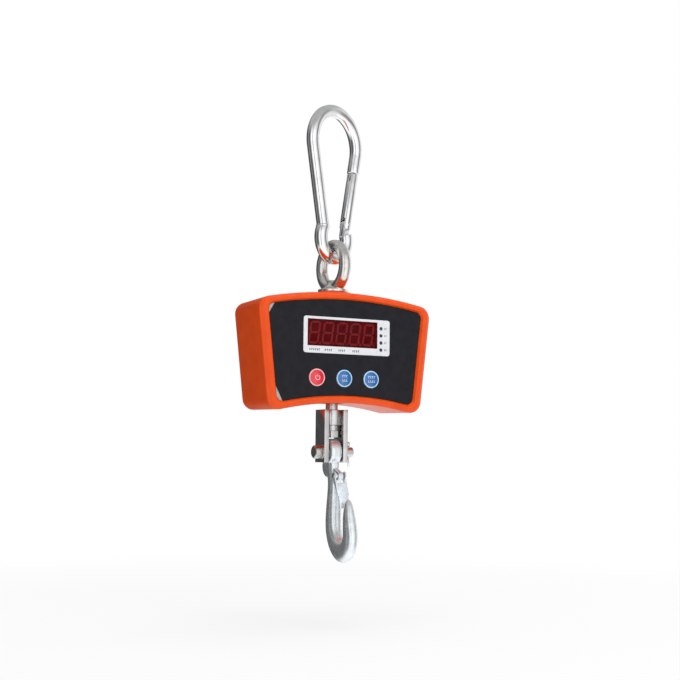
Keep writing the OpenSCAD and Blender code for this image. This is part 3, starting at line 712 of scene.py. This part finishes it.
def lamp_cutters(radius):
    return [rod_object("cutter", (LAMP_X, RIM_Y - 5, z), (0, 1, 0), radius, 20, 24) for z in LAMP_Z]


def window_cutter(margin):
    low = (window_low.x - margin, RIM_Y - 5, window_low.z - margin)
    high = (window_high.x + margin, RIM_Y + 15, window_high.z + margin)
    return box_object("cutter", low, high)


def make_front():
    """A spigot, the outer side, the rim's slope and flat front, and the step down to the panel."""
    profile = rounded([
        (SPIGOT_Y, 3.4, 0), (PARTING_Y, 3.4, 0), (PARTING_Y, 0.1, 0.35), (RIM_Y + 3.4, 0.0, 0.9),
        (RIM_Y + 2.6, 0.6, 0.5), (RIM_Y, 4.4, 1.6), (RIM_Y, 8.2, 0.8), (SEAT_Y - 0.7, 9.9, 0.3),
        (SEAT_Y, 10.1, 0)])
    front = loft("casing_front", profile)
    hollow = loft("cutter", [(SPIGOT_Y + 1, 5.3), (PARTING_Y + 1, 5.3)])
    cut(front, hollow, window_cutter(1.5), *button_cutters(), *lamp_cutters(LAMP_HOLE + 0.2))
    finish_as(front, "front_frame", angle=28)


rear_high = node_box("rear_housing")[1]
REAR_Y = rear_high.y
SEAM_Y = PARTING_Y + 0.6
WALL = 3.0
PAD_TOP = rear_high.z       # the eye bolt sits on this pad
PAD_RADIUS = 18.4
PAD_RISE = 2.8
BOLT_HOLE = 6.5
ROD_HOLE = 11
POSTS = [(-72, 18), (72, 18), (-66, 92), (66, 92)]      # across, and down from the casing's apex
SCREW_HOLE = 2.1
SCREW_SINK = (4, 2.6)       # radius and depth
DOOR_GAP = 0.3
DOOR_LEDGE = 5
SOCKET_HOLE = 5.7
door_low, door_high = node_box("battery_door")
socket_low, socket_high = node_box("charging_socket")


def make_rear():
    outer = rounded([(SEAM_Y, WALL, 0), (SEAM_Y, 0.1, 0.35), (REAR_Y, 1.0, 6.0), (REAR_Y, 14, 0)], 8)
    inner = rounded([(SEAM_Y - 1, WALL, 0), (REAR_Y - WALL, 3.9, 3.0), (REAR_Y - WALL, 14, 0)], 5)
    rear = loft("casing_rear", outer)
    cut(rear, loft("cutter", inner))
    pad = rounded([(0, -2.5, 0), (PAD_RADIUS, -2.5, 0), (PAD_RADIUS, 1.6, 0.8),
                   (PAD_RADIUS - 1, PAD_RISE, 0.9), (0, PAD_RISE, 0)])
    base = PAD_TOP - PAD_RISE
    weld(rear, lathe("pad", pad, (0, 0, base), (0, 0, 1)))
    cut(rear, rod_object("cutter", (0, 0, base - 8), (0, 0, 1), BOLT_HOLE, 12))
    cut(rear, rod_object("cutter", (0, 0, CASE_BASE - 10), (0, 0, 1), ROD_HOLE, 20))
    sink, deep = SCREW_SINK
    for x, drop in POSTS:
        z = CASE_TOP - drop
        cut(rear, rod_object("cutter", (x, REAR_Y - 12, z), (0, 1, 0), SCREW_HOLE, 20, 24))
        cut(rear, rod_object("cutter", (x, REAR_Y - deep, z), (0, 1, 0), sink, 5))
    low = (door_low.x - DOOR_GAP, REAR_Y - 2, door_low.z - DOOR_GAP)
    high = (door_high.x + DOOR_GAP, REAR_Y + 1, door_high.z + DOOR_GAP)
    cut(rear, soften(box_object("cutter", low, high), 1.2, 3))
    low = (door_low.x + DOOR_LEDGE, REAR_Y - 5, door_low.z + DOOR_LEDGE)
    high = (door_high.x - DOOR_LEDGE, REAR_Y, door_high.z - DOOR_LEDGE)
    cut(rear, box_object("cutter", low, high))
    middle = (socket_low + socket_high) / 2
    cut(rear, rod_object("cutter", (middle.x, REAR_Y - 5, middle.z), (0, 1, 0), SOCKET_HOLE, 8))
    finish_as(rear, "rear_housing", angle=28)


make_front()
make_rear()


# ---------- front panel ----------

PANEL_INSET = 10.15
FILM_BACK = SEAT_Y - 0.15
FILM_FRONT = SEAT_Y - 0.8
# The film's left corners are snipped to bare the pale backing, a painted reflection of the lip's glossy
# corner.
FILM_SNIPS_FOR_GLINT = ((True, -78, 6.5, 9), (False, -70, 5.5, 15))     # top?, nearby x, cut across, cut down
BEZEL = ((0, CASE_TOP - 41.7), (92.5, 34.6))      # centre and size
BEZEL_CORNER = 2.6
BEZEL_FRONT = FILM_FRONT - 0.6
BEZEL_WORDS = ((-34.6, 11.6, 6), (-20.2, 8.4, 4), (-5.8, 7.8, 4), (9.2, 8, 4))    # x, width, strokes
WORD_DROP = 14.1        # from the bezel's centre
WORD_HEIGHT = 2.2
LAMP_WORD = (5, 2.8, 2.0, 2)        # across from the lamp, width, height, strokes
LAMP_RING = 1.75
INK_RISE = 0.03
INK_THICK = 0.1


def panel_edge(x, top):
    """Height of the panel's top or bottom edge at x."""
    inset = PANEL_INSET * RIM_SHARE
    if top:
        return CASE_TOP - TOP_RADIUS + math.sqrt((TOP_RADIUS - inset) ** 2 - x * x)
    return CASE_BASE - ARCH_RADIUS + math.sqrt((ARCH_RADIUS + inset) ** 2 - x * x)


def panel_side(z):
    """The panel's left edge at a height."""
    return -(HALF_WIDTH - PANEL_INSET / math.cos(CASE_TAPER) + (z - WIDE_Z) * math.tan(CASE_TAPER))


def glint_corner_cutter(top, near_x, across, down):
    """A cutter for one left corner of the film, where the pale backing shows as a painted reflection of
    the lip's glossy corner.
    """
    z = panel_edge(near_x, top)
    corner = Vector((panel_side(z), z))
    sign = 1 if top else -1
    edge = corner.x + across
    low = corner.y - sign * down
    shape = [(edge, panel_edge(edge, top)), (panel_side(low), low), (panel_side(low) - 9, low),
             (corner.x - 9, corner.y + sign * 9), (edge, corner.y + sign * 9)]
    return prism("cutter", shape, lambda a, b, c: Vector((a, c, b)), FILM_FRONT - 1, SEAT_Y + 1)


def panel_holes():
    return [window_cutter(0.2), *button_cutters(), *lamp_cutters(LAMP_HOLE)]


def make_panel():
    film = loft("panel_film", rounded([
        (FILM_BACK, PANEL_INSET + 1, 0), (FILM_BACK, PANEL_INSET, 0), (FILM_FRONT, PANEL_INSET, 0.18),
        (FILM_FRONT, PANEL_INSET + 1, 0)]))
    corners = [glint_corner_cutter(*snip) for snip in FILM_SNIPS_FOR_GLINT]
    finish_as(cut(film, *corners, *panel_holes()), "membrane_panel")
    # The pale backing behind the film shows at the snipped corners as a painted reflection.
    backing = loft("panel_backing_painted_glint", [(SEAT_Y, PANEL_INSET + 0.1), (FILM_BACK, PANEL_INSET + 0.1)])
    finish(cut(backing, *panel_holes()), "scale", BACKING_PAINTED_GLINT)


def mark_row(x, z, width, height, count):
    """A row of short upright and level strokes that stands for a printed word; it says nothing."""
    pitch = width / count
    stroke = pitch * 0.34
    bars = []
    for k in range(count):
        left = x - width / 2 + (k + 0.2) * pitch
        right = left + pitch * 0.6
        level = z + height / 2 - stroke if k % 2 else z - stroke / 2
        for low, high in (((left, z - height / 2), (left + stroke, z + height / 2)),
                          ((left, level), (right, level + stroke))):
            bars.append(box_object("bar", (low[0], BEZEL_FRONT - INK_RISE, low[1]),
                                   (high[0], BEZEL_FRONT + INK_THICK, high[1])))
    return bars


def make_bezel():
    profile = rounded([(FILM_FRONT, 0, 0), (BEZEL_FRONT, 0, 0.3), (BEZEL_FRONT, 2, 0)], 4)
    plate = round_plate("bezel_plate", *BEZEL, BEZEL_CORNER, profile)
    cut(plate, soften(window_cutter(0.05), 0.5, 3), *lamp_cutters(LAMP_HOLE))
    finish_as(plate, "display_bezel")
    marks = []
    for x, width, count in BEZEL_WORDS:
        marks += mark_row(x, BEZEL[0][1] - WORD_DROP, width, WORD_HEIGHT, count)
    for z in LAMP_Z:
        marks += mark_row(LAMP_X + LAMP_WORD[0], z, *LAMP_WORD[1:])
    for z in LAMP_Z:
        y = BEZEL_FRONT - INK_RISE
        ring = rod_object("bar", (LAMP_X, y, z), (0, 1, 0), LAMP_RING, INK_THICK, 24)
        marks.append(cut(ring, rod_object("cutter", (LAMP_X, y - 1, z), (0, 1, 0), LAMP_HOLE, 3, 24)))
    finish(join("bezel_marks", marks), "scale", INK)


DIGIT_COUNT = 5
DIGIT_PITCH = 14.4
DIGIT_SHIFT = -0.6      # of the middle figure from the window's middle
DIGIT_SIZE = (9.4, 19.6)
DIGIT_LEAN = math.tan(math.radians(8))
BAR_WIDTH = 1.9
BAR_GAP = 0.25
BAR_JOINTS = {"a": (0, 2), "b": (1, 2), "c": (0, 1), "d": (1, 1), "e": (0, 0), "f": (1, 0)}
POINT_GAP = 2.4
POINT_SIDES = 20


def segment(start, end):
    """One bar of a digit, with pointed ends, from the middle of one joint to the next."""
    start, end = Vector(start), Vector(end)
    along = (end - start).normalized()
    side = Vector((-along.y, along.x)) * BAR_WIDTH / 2
    tips = (start + along * BAR_GAP, end - along * BAR_GAP)
    inner = (start + along * (BAR_GAP + BAR_WIDTH / 2), end - along * (BAR_GAP + BAR_WIDTH / 2))
    return [tips[0], inner[0] - side, inner[1] - side, tips[1], inner[1] + side, inner[0] + side]


def make_digits():
    """Five figures of seven bars and a point, moulded on the block behind the red filter."""
    front = node_box("digit_module")[0].y
    softened("digit_module", "digit_block", 0.25)
    width, height = DIGIT_SIZE
    middle = (window_low + window_high) / 2

    def place(a, b, c):
        return Vector((middle.x + a + b * DIGIT_LEAN, c, middle.z + b))

    shapes = []
    last = 2 * math.pi * (POINT_SIDES - 1) / POINT_SIDES
    for k in range(DIGIT_COUNT):
        shift = (k - (DIGIT_COUNT - 1) / 2) * DIGIT_PITCH + DIGIT_SHIFT
        spots = {key: (shift + (a - 0.5) * width, (b - 1) * height / 2)
                 for key, (a, b) in BAR_JOINTS.items()}
        shapes += [segment(spots[a], spots[b]) for a, b in ("ab", "cd", "ef", "ac", "bd", "ce", "df")]
        shapes.append(arc((shift + width / 2 + POINT_GAP, -height / 2), 1.0, 0, last, POINT_SIDES - 1))
    bars = [prism("bar", shape, place, front - 0.06, front + 0.1) for shape in shapes]
    finish(join("digit_segments", bars), "scale", SEGMENTS)
    softened("display_window", "window_glass", 0.2)


def make_lamps():
    tall = lamps_high.y - lamps_low.y
    profile = rounded([(0, 0, 0), (LAMP_RADIUS, 0, 0.2), (LAMP_RADIUS, tall - 0.2, 0.4),
                       (0.5, tall, 0.4), (0, tall + 0.05, 0)], 4)
    domes = [lathe("dome", profile, (LAMP_X, lamps_high.y, z), (0, -1, 0), 32) for z in LAMP_Z]
    finish_as(join("lamp_domes", domes), "indicator_lamps")


DOME_RADIUS = 7.0
DOME_RISE = 1.35
CAP_RADIUS = 8.3
RING_WALL = 0.9
FLANGE_RADIUS = 9.2
FLANGE_THICK = 1.0
STEM_RADIUS = 2.4
DOME_STEPS = 12
STROKE_PITCH = 2.0


def dome_y(radius, edge_y):
    """How far forward the button's dome is at a radius from its middle."""
    ball = (DOME_RADIUS ** 2 + DOME_RISE ** 2) / (2 * DOME_RISE)
    return edge_y - math.sqrt(ball ** 2 - radius ** 2) + ball - DOME_RISE


def dome_stroke(centre, points, edge_y):
    """A raised line on the dome, through points in millimetres from its middle."""
    x, z = centre
    path = [Vector((x + a, dome_y(math.hypot(a, b), edge_y) + 0.02, z + b)) for a, b in points]
    return sweep("stroke", path, Vector((0, -1, 0)), [(0.24, 0.12)] * len(path), steps=8)


def power_sign():
    turns = [math.radians(130 + 280 * k / 20) for k in range(21)]
    return [[(2.3 * math.cos(t), 2.3 * math.sin(t)) for t in turns], [(0, 0.6), (0, 1.7), (0, 2.9)]]


def two_rows(count):
    """Two rows of short strokes, plain marks that say nothing."""
    lines = []
    for row in (-1, 1):
        z = row * 1.9
        for k in range(count):
            x = (k - (count - 1) / 2) * STROKE_PITCH
            lines.append([(x - 0.5, z - 1.05), (x - 0.5, z), (x - 0.5, z + 1.05)])
            lines.append([(x - 0.5, z + row * 0.9), (x, z + row * 0.9), (x + 0.5, z + row * 0.9)])
    return lines


def make_button(node, x, name, ring_look, strokes):
    """A domed cap on a flange and stem, with a ring round the dome and a sign on it. The ring is
    coloured a lighter copy of the cap's colour, a painted highlight of its raised edge.
    """
    body = nodes[node]["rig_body"]
    back = node_box(node)[1].y
    rim = FILM_FRONT - 0.75
    place = (x, back, BUTTON_Z)
    flange = back - (SEAT_Y + 2.9)
    reach = back - rim
    neck = CAP_RADIUS - RING_WALL
    stem = [(0, 0, 0), (STEM_RADIUS, 0, 0.2), (STEM_RADIUS, flange - FLANGE_THICK, 0),
            (FLANGE_RADIUS, flange - FLANGE_THICK, 0.2), (FLANGE_RADIUS, flange, 0.2), (neck, flange, 0),
            (neck, reach - 0.2, 0)]
    radii = [DOME_RADIUS * (1 - k / DOME_STEPS) for k in range(DOME_STEPS + 1)]
    ball = [(radius, back - dome_y(radius, rim)) for radius in radii]
    cap = rounded(stem)[:-1] + [(neck, reach - 0.15)] + ball
    finish_as(lathe(name + "_cap", cap, place, (0, -1, 0)), node)
    ring = rounded([(neck + 0.02, flange + 0.05, 0), (CAP_RADIUS, flange + 0.05, 0),
                    (CAP_RADIUS, reach + 0.12, 0.5), (DOME_RADIUS, reach + 0.12, 0.4),
                    (DOME_RADIUS, reach - 0.1, 0)])
    ring.append((neck + 0.02, reach - 0.12))
    finish(lathe_ring(name + "_ring", ring, place, (0, -1, 0)), body, ring_look)
    lines = [dome_stroke((x, BUTTON_Z), line, rim) for line in strokes]
    finish(join(name + "_marks", lines), body, LEGEND)


make_panel()
make_bezel()
make_digits()
make_lamps()
make_button("power_button", BUTTON_X[0], "power", RED_RING_HIGHLIGHT, power_sign())
make_button("hold_button", BUTTON_X[1], "hold", BLUE_RING_HIGHLIGHT, two_rows(3))
make_button("tare_button", BUTTON_X[2], "tare", BLUE_RING_HIGHLIGHT, two_rows(4))


# ---------- snap hook ----------

SNAP_YAW = math.radians(24)
SNAP_BAR = 6.25         # half of the bent bar
ARM_BAR = 6.05
END_BAR = 6.5
TOP_ARC = (-27.5, 33.75)        # height of the centre, and radius
END_ARC = (-121.5, 19.5)
JOINT_ANGLE = math.radians(31)
GATE_FROM = 6.5         # pivot, along the arm from its lower end
GATE_TO = 60.0
TONGUE_HALF = 4.5
RIVET_RADIUS = 2
RIVET_LENGTH = 11
SNAP_OUT = Vector((math.cos(SNAP_YAW), math.sin(SNAP_YAW), 0))
SNAP_PLANE = Vector((-math.sin(SNAP_YAW), math.cos(SNAP_YAW), 0))

joint_u = END_ARC[1] * math.cos(JOINT_ANGLE)
joint_z = END_ARC[0] + END_ARC[1] * math.sin(JOINT_ANGLE)
arm_gap = math.hypot(joint_u, TOP_ARC[0] - joint_z)
ARM_LEAN = math.asin(TOP_ARC[1] / arm_gap) - math.atan(joint_u / (TOP_ARC[0] - joint_z))
ARM_LENGTH = math.sqrt(arm_gap ** 2 - TOP_ARC[1] ** 2)


def snap_point(u, z, across=0.0):
    return SNAP_OUT * u + SNAP_PLANE * across + Vector((0, 0, z))


def on_arm(side, along, out=0.0, across=0.0):
    """A point by an arm, from its lower end up it and outwards from it."""
    u = joint_u + along * math.sin(ARM_LEAN) + out * math.cos(ARM_LEAN)
    return snap_point(side * u, joint_z + along * math.cos(ARM_LEAN) - out * math.sin(ARM_LEAN), across)


def capped(path, radius, start, end):
    """Sizes for a round bar whose two ends have edges rounded by start and end."""
    sizes = []
    run = [0.0]
    for a, b in zip(path, path[1:]):
        run.append(run[-1] + (b - a).length)
    for here in run:
        less = 0.0
        for reach, edge in ((here, start), (run[-1] - here, end)):
            if edge and reach < edge:
                less = max(less, edge - math.sqrt(max(edge ** 2 - (edge - reach) ** 2, 0)))
        sizes.append((radius - less, radius - less))
    return sizes


def make_snap_hook():
    nose = [on_arm(1, GATE_TO + 1 + d) for d in (0, 0.1, 0.3, 0.6, 1.0, 1.6, 8)]
    arm = [on_arm(1, ARM_LENGTH - 4)]
    turns = [-ARM_LEAN + (math.pi + 2 * ARM_LEAN) * k / 120 for k in range(121)]
    height, radius = TOP_ARC
    top = [snap_point(radius * math.cos(t), height + radius * math.sin(t)) for t in turns]
    other = [on_arm(-1, d) for d in (ARM_LENGTH - 4, 60, 30, 4, 1.2, 0.2)]
    path = nose + arm + top + other
    sizes = capped(path, ARM_BAR, 1.6, 0.0)
    first = len(nose) + len(arm)
    # The bend is a little thicker than the arms, and grows out of them over a few stations
    for k in range(len(top)):
        grow = min(1.0, min(k, len(top) - 1 - k) / 14)
        sizes[first + k] = (ARM_BAR + (SNAP_BAR - ARM_BAR) * grow,) * 2
    bar = sweep("snap_bar", path, SNAP_PLANE, sizes, steps=64)
    # The forged small end starts as a step a little wider than the arm
    start = [on_arm(-1, d, 0.35) for d in (3.4, 3.3, 3.1, 2.8, 2.3, 1.6, 0.8, 0.0)]
    swing = math.pi + JOINT_ANGLE + math.radians(20)
    turns = [math.pi - JOINT_ANGLE + swing * k / 90 for k in range(1, 91)]
    height, radius = END_ARC
    bend = [snap_point(radius * math.cos(t), height + radius * math.sin(t)) for t in turns]
    small = sweep("small", start + bend, SNAP_PLANE, capped(start + bend, END_BAR, 1.8, 0.0), steps=64)

    def beside(a, b, c):
        return on_arm(1, b, a, c)

    tongue = arc((0, GATE_FROM), TONGUE_HALF, 0, math.pi, 24) + [(-TONGUE_HALF, -7), (TONGUE_HALF, -7)]
    tongue = soften(prism("tongue", tongue, beside, -2.4, 2.4), 0.4, 2)
    blade = [(-4, GATE_TO - 7), (4, GATE_TO - 7), (4, GATE_TO + 3), (-4, GATE_TO + 3)]
    blade = soften(prism("blade", blade, beside, -2, 2), 0.6, 3)
    weld(bar, small, tongue, blade)
    cut(bar, rod_object("cutter", on_arm(1, GATE_FROM, 0, -10), SNAP_PLANE, RIVET_RADIUS + 0.05, 20, 32))
    finish_as(bar, "snap_hook_frame", angle=28)
    softened("snap_gate", "gate_bar", 0.45, 3, 50)
    rivet = rounded([(0, 0, 0), (RIVET_RADIUS, 0, 0.5), (RIVET_RADIUS, RIVET_LENGTH, 0.5),
                     (0, RIVET_LENGTH, 0)], 4)
    foot = on_arm(1, GATE_FROM, 0, -RIVET_LENGTH / 2)
    finish_as(lathe("rivet", rivet, foot, SNAP_PLANE, 32), "gate_rivet")


# ---------- eye bolt ----------

FORGE_GRID = 0.5
RING_YAW = math.radians(5)
RING = (-149.2, 21.0, 6.0)      # height of the centre, radius of the centreline, half of the bar


def make_eye_bolt():
    height, radius, bar = RING
    out = Vector((-math.sin(RING_YAW), math.cos(RING_YAW), 0))
    plane = Vector((math.cos(RING_YAW), math.sin(RING_YAW), 0))
    turns = [2 * math.pi * k / 120 for k in range(120)]
    path = [out * radius * math.cos(t) + Vector((0, 0, height + radius * math.sin(t))) for t in turns]
    ring = sweep("eye_ring", path, plane, [(bar, bar)] * len(path), loop=True)
    neck = arc((15, 12.4), 9, -math.pi / 2, -math.pi, 16)
    collar = rounded([(0, 0, 0), (15, 0, 0.8), (15, 3.4, 0.8), (14, 3.6, 0)], 4) + neck[2:] + [(0, 12.4)]
    weld(ring, lathe("collar", collar, (0, 0, PAD_TOP), (0, 0, 1), 72))
    forge(ring, FORGE_GRID, 10)
    shank = node_box("eye_bolt")[0].z
    weld(ring, rod_object("shank", (0, 0, shank), (0, 0, 1), bar, PAD_TOP - shank + 1))
    finish_as(ring, "eye_bolt", angle=50)


# ---------- fork ----------

PIN_Z = -329.8
COTTER_X = 18.5
COTTER_BAR = 0.66
COTTER_HOLE = 1.4
COTTER_EYE = (7.4, 2.1)     # height above the bolt, and radius
HEAD_FROM = -19.5       # along the bolt
HEAD_TO = -12.5
HEAD_RADIUS = 6.5
BOLT_RADIUS = 5


def make_fork():
    softened("swivel_fork", "fork_block", 0.5, 3)
    softened("thrust_bush", "fork_bush", 0.4)
    softened("swivel_nut", "fork_nut", 0.35)
    end = node_box("cross_bolt")[1].x
    profile = rounded([
        (0, HEAD_FROM, 0), (HEAD_RADIUS - 1.3, HEAD_FROM, 0.8), (HEAD_RADIUS, HEAD_FROM + 1.1, 1.2),
        (HEAD_RADIUS, HEAD_TO, 0.5), (BOLT_RADIUS, HEAD_TO, 0), (BOLT_RADIUS, end, 1.0), (0, end, 0)], 5)
    bolt = lathe("fork_bolt", profile, (0, 0, PIN_Z), (1, 0, 0), 72)
    cut(bolt, rod_object("cutter", (COTTER_X, 0, PIN_Z - 10), (0, 0, 1), COTTER_HOLE, 20, 24))
    finish_as(bolt, "cross_bolt")
    eye = PIN_Z + COTTER_EYE[0]
    loop = arc((0, eye), COTTER_EYE[1], math.radians(-60), math.radians(240), 24)
    legs = [[(sign * 0.62, eye - 2.2), (sign * 0.62, PIN_Z - 5.4), (sign * 0.9, PIN_Z - 7.2),
             (sign * bend, PIN_Z - 14.6)] for sign, bend in ((1, 1.6), (-1, 2.3))]
    path = [Vector((COTTER_X, y, z)) for y, z in legs[0][::-1] + loop + legs[1]]
    sizes = capped(path, COTTER_BAR, COTTER_BAR * 0.8, COTTER_BAR * 0.8)
    finish_as(sweep("split_wire", path, Vector((1, 0, 0)), sizes, steps=16), "split_pin", angle=60)


# ---------- hook ----------

HOOK_LEAN = math.radians(15.5)
LATCH = (-10.6, -26.2)      # its pin, in the hook's own plane
LATCH_BORE = 2.1
LUG_RADIUS = 4.4
LUG_HALF = 2.5
HOOK_BORE = 5.075
EYE_RADIUS = 13
EYE_HALF = 6
SWELL_RADIUS = 11       # of the rear shoulder under the eye
SWELL_HALF = 4.6


def hook_point(y, z, x=0.0):
    """A point given in the upright hook, as the hook leans on its bolt."""
    lean_y = y * math.cos(HOOK_LEAN) + z * math.sin(HOOK_LEAN)
    return Vector((x, lean_y, PIN_Z - y * math.sin(HOOK_LEAN) + z * math.cos(HOOK_LEAN)))


def smooth_through(stations, steps):
    """A smooth run of numbers through rows of numbers."""
    rows = [stations[0]] + list(stations) + [stations[-1]]
    result = []
    for a, b, c, d in zip(rows, rows[1:], rows[2:], rows[3:]):
        for k in range(steps):
            t = k / steps
            result.append([0.5 * (2 * q + (r - p) * t + (2 * p - 5 * q + 4 * r - s) * t * t
                                  + (3 * q - p - 3 * r + s) * t ** 3) for p, q, r, s in zip(a, b, c, d)])
    result.append(list(stations[-1]))
    return result


HOOK_STATIONS = [       # y, z, half width in the hook's plane, half depth across it
    (0.2, -4, 6.0, 5.4), (0.4, -18, 6.2, 5.6), (0.6, -30, 6.8, 6.0), (3.7, -42, 7.1, 6.6),
    (8.3, -54, 7.9, 6.8), (12.2, -66, 8.5, 6.9), (13.3, -77, 8.8, 6.9), (10.4, -87.5, 9.4, 6.8),
    (3.6, -95.6, 9.8, 6.6), (-5.2, -98.0, 9.6, 6.4), (-12.8, -94.6, 9.2, 6.3), (-17.8, -87.4, 8.5, 6.2),
    (-19.6, -78.5, 7.6, 6.2), (-20.6, -69, 6.5, 5.6), (-21.6, -61.5, 5.2, 4.6), (-22.0, -56.2, 3.9, 3.4),
    (-22.1, -53.4, 2.4, 2.2), (-22.1, -52.2, 0.7, 0.7)]


def make_hook():
    stations = smooth_through(HOOK_STATIONS, 6)
    path = [hook_point(y, z) for y, z, wide, deep in stations]
    sizes = [(wide, deep) for y, z, wide, deep in stations]
    hook = sweep("hook_forging", path, Vector((1, 0, 0)), sizes, steps=40, power=2.3)
    ring = rounded([(0, -EYE_HALF, 0), (EYE_RADIUS, -EYE_HALF, 3.0), (EYE_RADIUS, EYE_HALF, 3.0),
                    (0, EYE_HALF, 0)], 6)
    eye = lathe("eye", ring, hook_point(0, 0), (1, 0, 0), 72)
    lug = [(0, -36), (LATCH[0] + 2.4, LATCH[1] - 4.6),
           *arc(LATCH, LUG_RADIUS, math.radians(-10), math.radians(-210), 16), (0, -14)]
    swell = rounded([(0, -SWELL_HALF, 0), (SWELL_RADIUS, -SWELL_HALF, 2.6),
                     (SWELL_RADIUS, SWELL_HALF, 2.6), (0, SWELL_HALF, 0)], 6)
    shoulder = lathe("shoulder", swell, hook_point(4.6, -13), (1, 0, 0), 72)
    weld(hook, eye, shoulder, prism("lug", lug, hook_point, -LUG_HALF, LUG_HALF))
    forge(hook, FORGE_GRID, 8)
    # Forging swells the lug, so both its sides are cut back, and then the holes are bored
    sides = [rod_object("cutter", hook_point(*LATCH, x), (1, 0, 0), 6.0, 10, 48)
             for x in (-LUG_HALF - 10, LUG_HALF)]
    cut(hook, rod_object("cutter", hook_point(0, 0, -20), (1, 0, 0), HOOK_BORE, 40, 64),
        rod_object("cutter", hook_point(*LATCH, -20), (1, 0, 0), LATCH_BORE, 40, 32), *sides)
    finish_as(hook, "hook_body", angle=40)
    softened("hook_latch", "latch_plate", 0.35, 2, 50, LATCH_LOOK)


# ---------- back ----------

GRIP_COUNT = 5
GRIP_PITCH = 4
BACK_PARTS = (("door_screws", "door_screw_heads", 0.3), ("case_screws", "case_screw_heads", 0.3),
              ("socket_cap", "socket_plug", 0.6), ("charging_socket", "socket_ring", 0.4))


def make_back():
    """The door with its finger grip, and the small parts round it."""
    door = copy_of("battery_door", "door_cover")
    for k in range(GRIP_COUNT):
        low = (door_low.x + 10, REAR_Y - 0.5, door_high.z - 12 - k * GRIP_PITCH)
        cut(door, box_object("cutter", low, (door_high.x - 10, REAR_Y + 1, low[2] + 1.6)))
    finish_as(soften(door, 0.4, 2, 50), "battery_door")
    for node, name, width in BACK_PARTS:
        softened(node, name, width, 2, 50)


make_snap_hook()
make_eye_bolt()
make_fork()
make_hook()
make_back()

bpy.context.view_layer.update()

floor = box_object("floor", (-FLOOR_HALF, -FLOOR_HALF, -FLOOR_THICK), (FLOOR_HALF, FLOOR_HALF, 0))
floor.location.z = cad_box[0][2] - FLOOR_DROP * MM
floor.data.materials.append(pale_floor())
floor.visible_glossy = False        # the metal shows the studio instead, above and below
floor.visible_diffuse = False
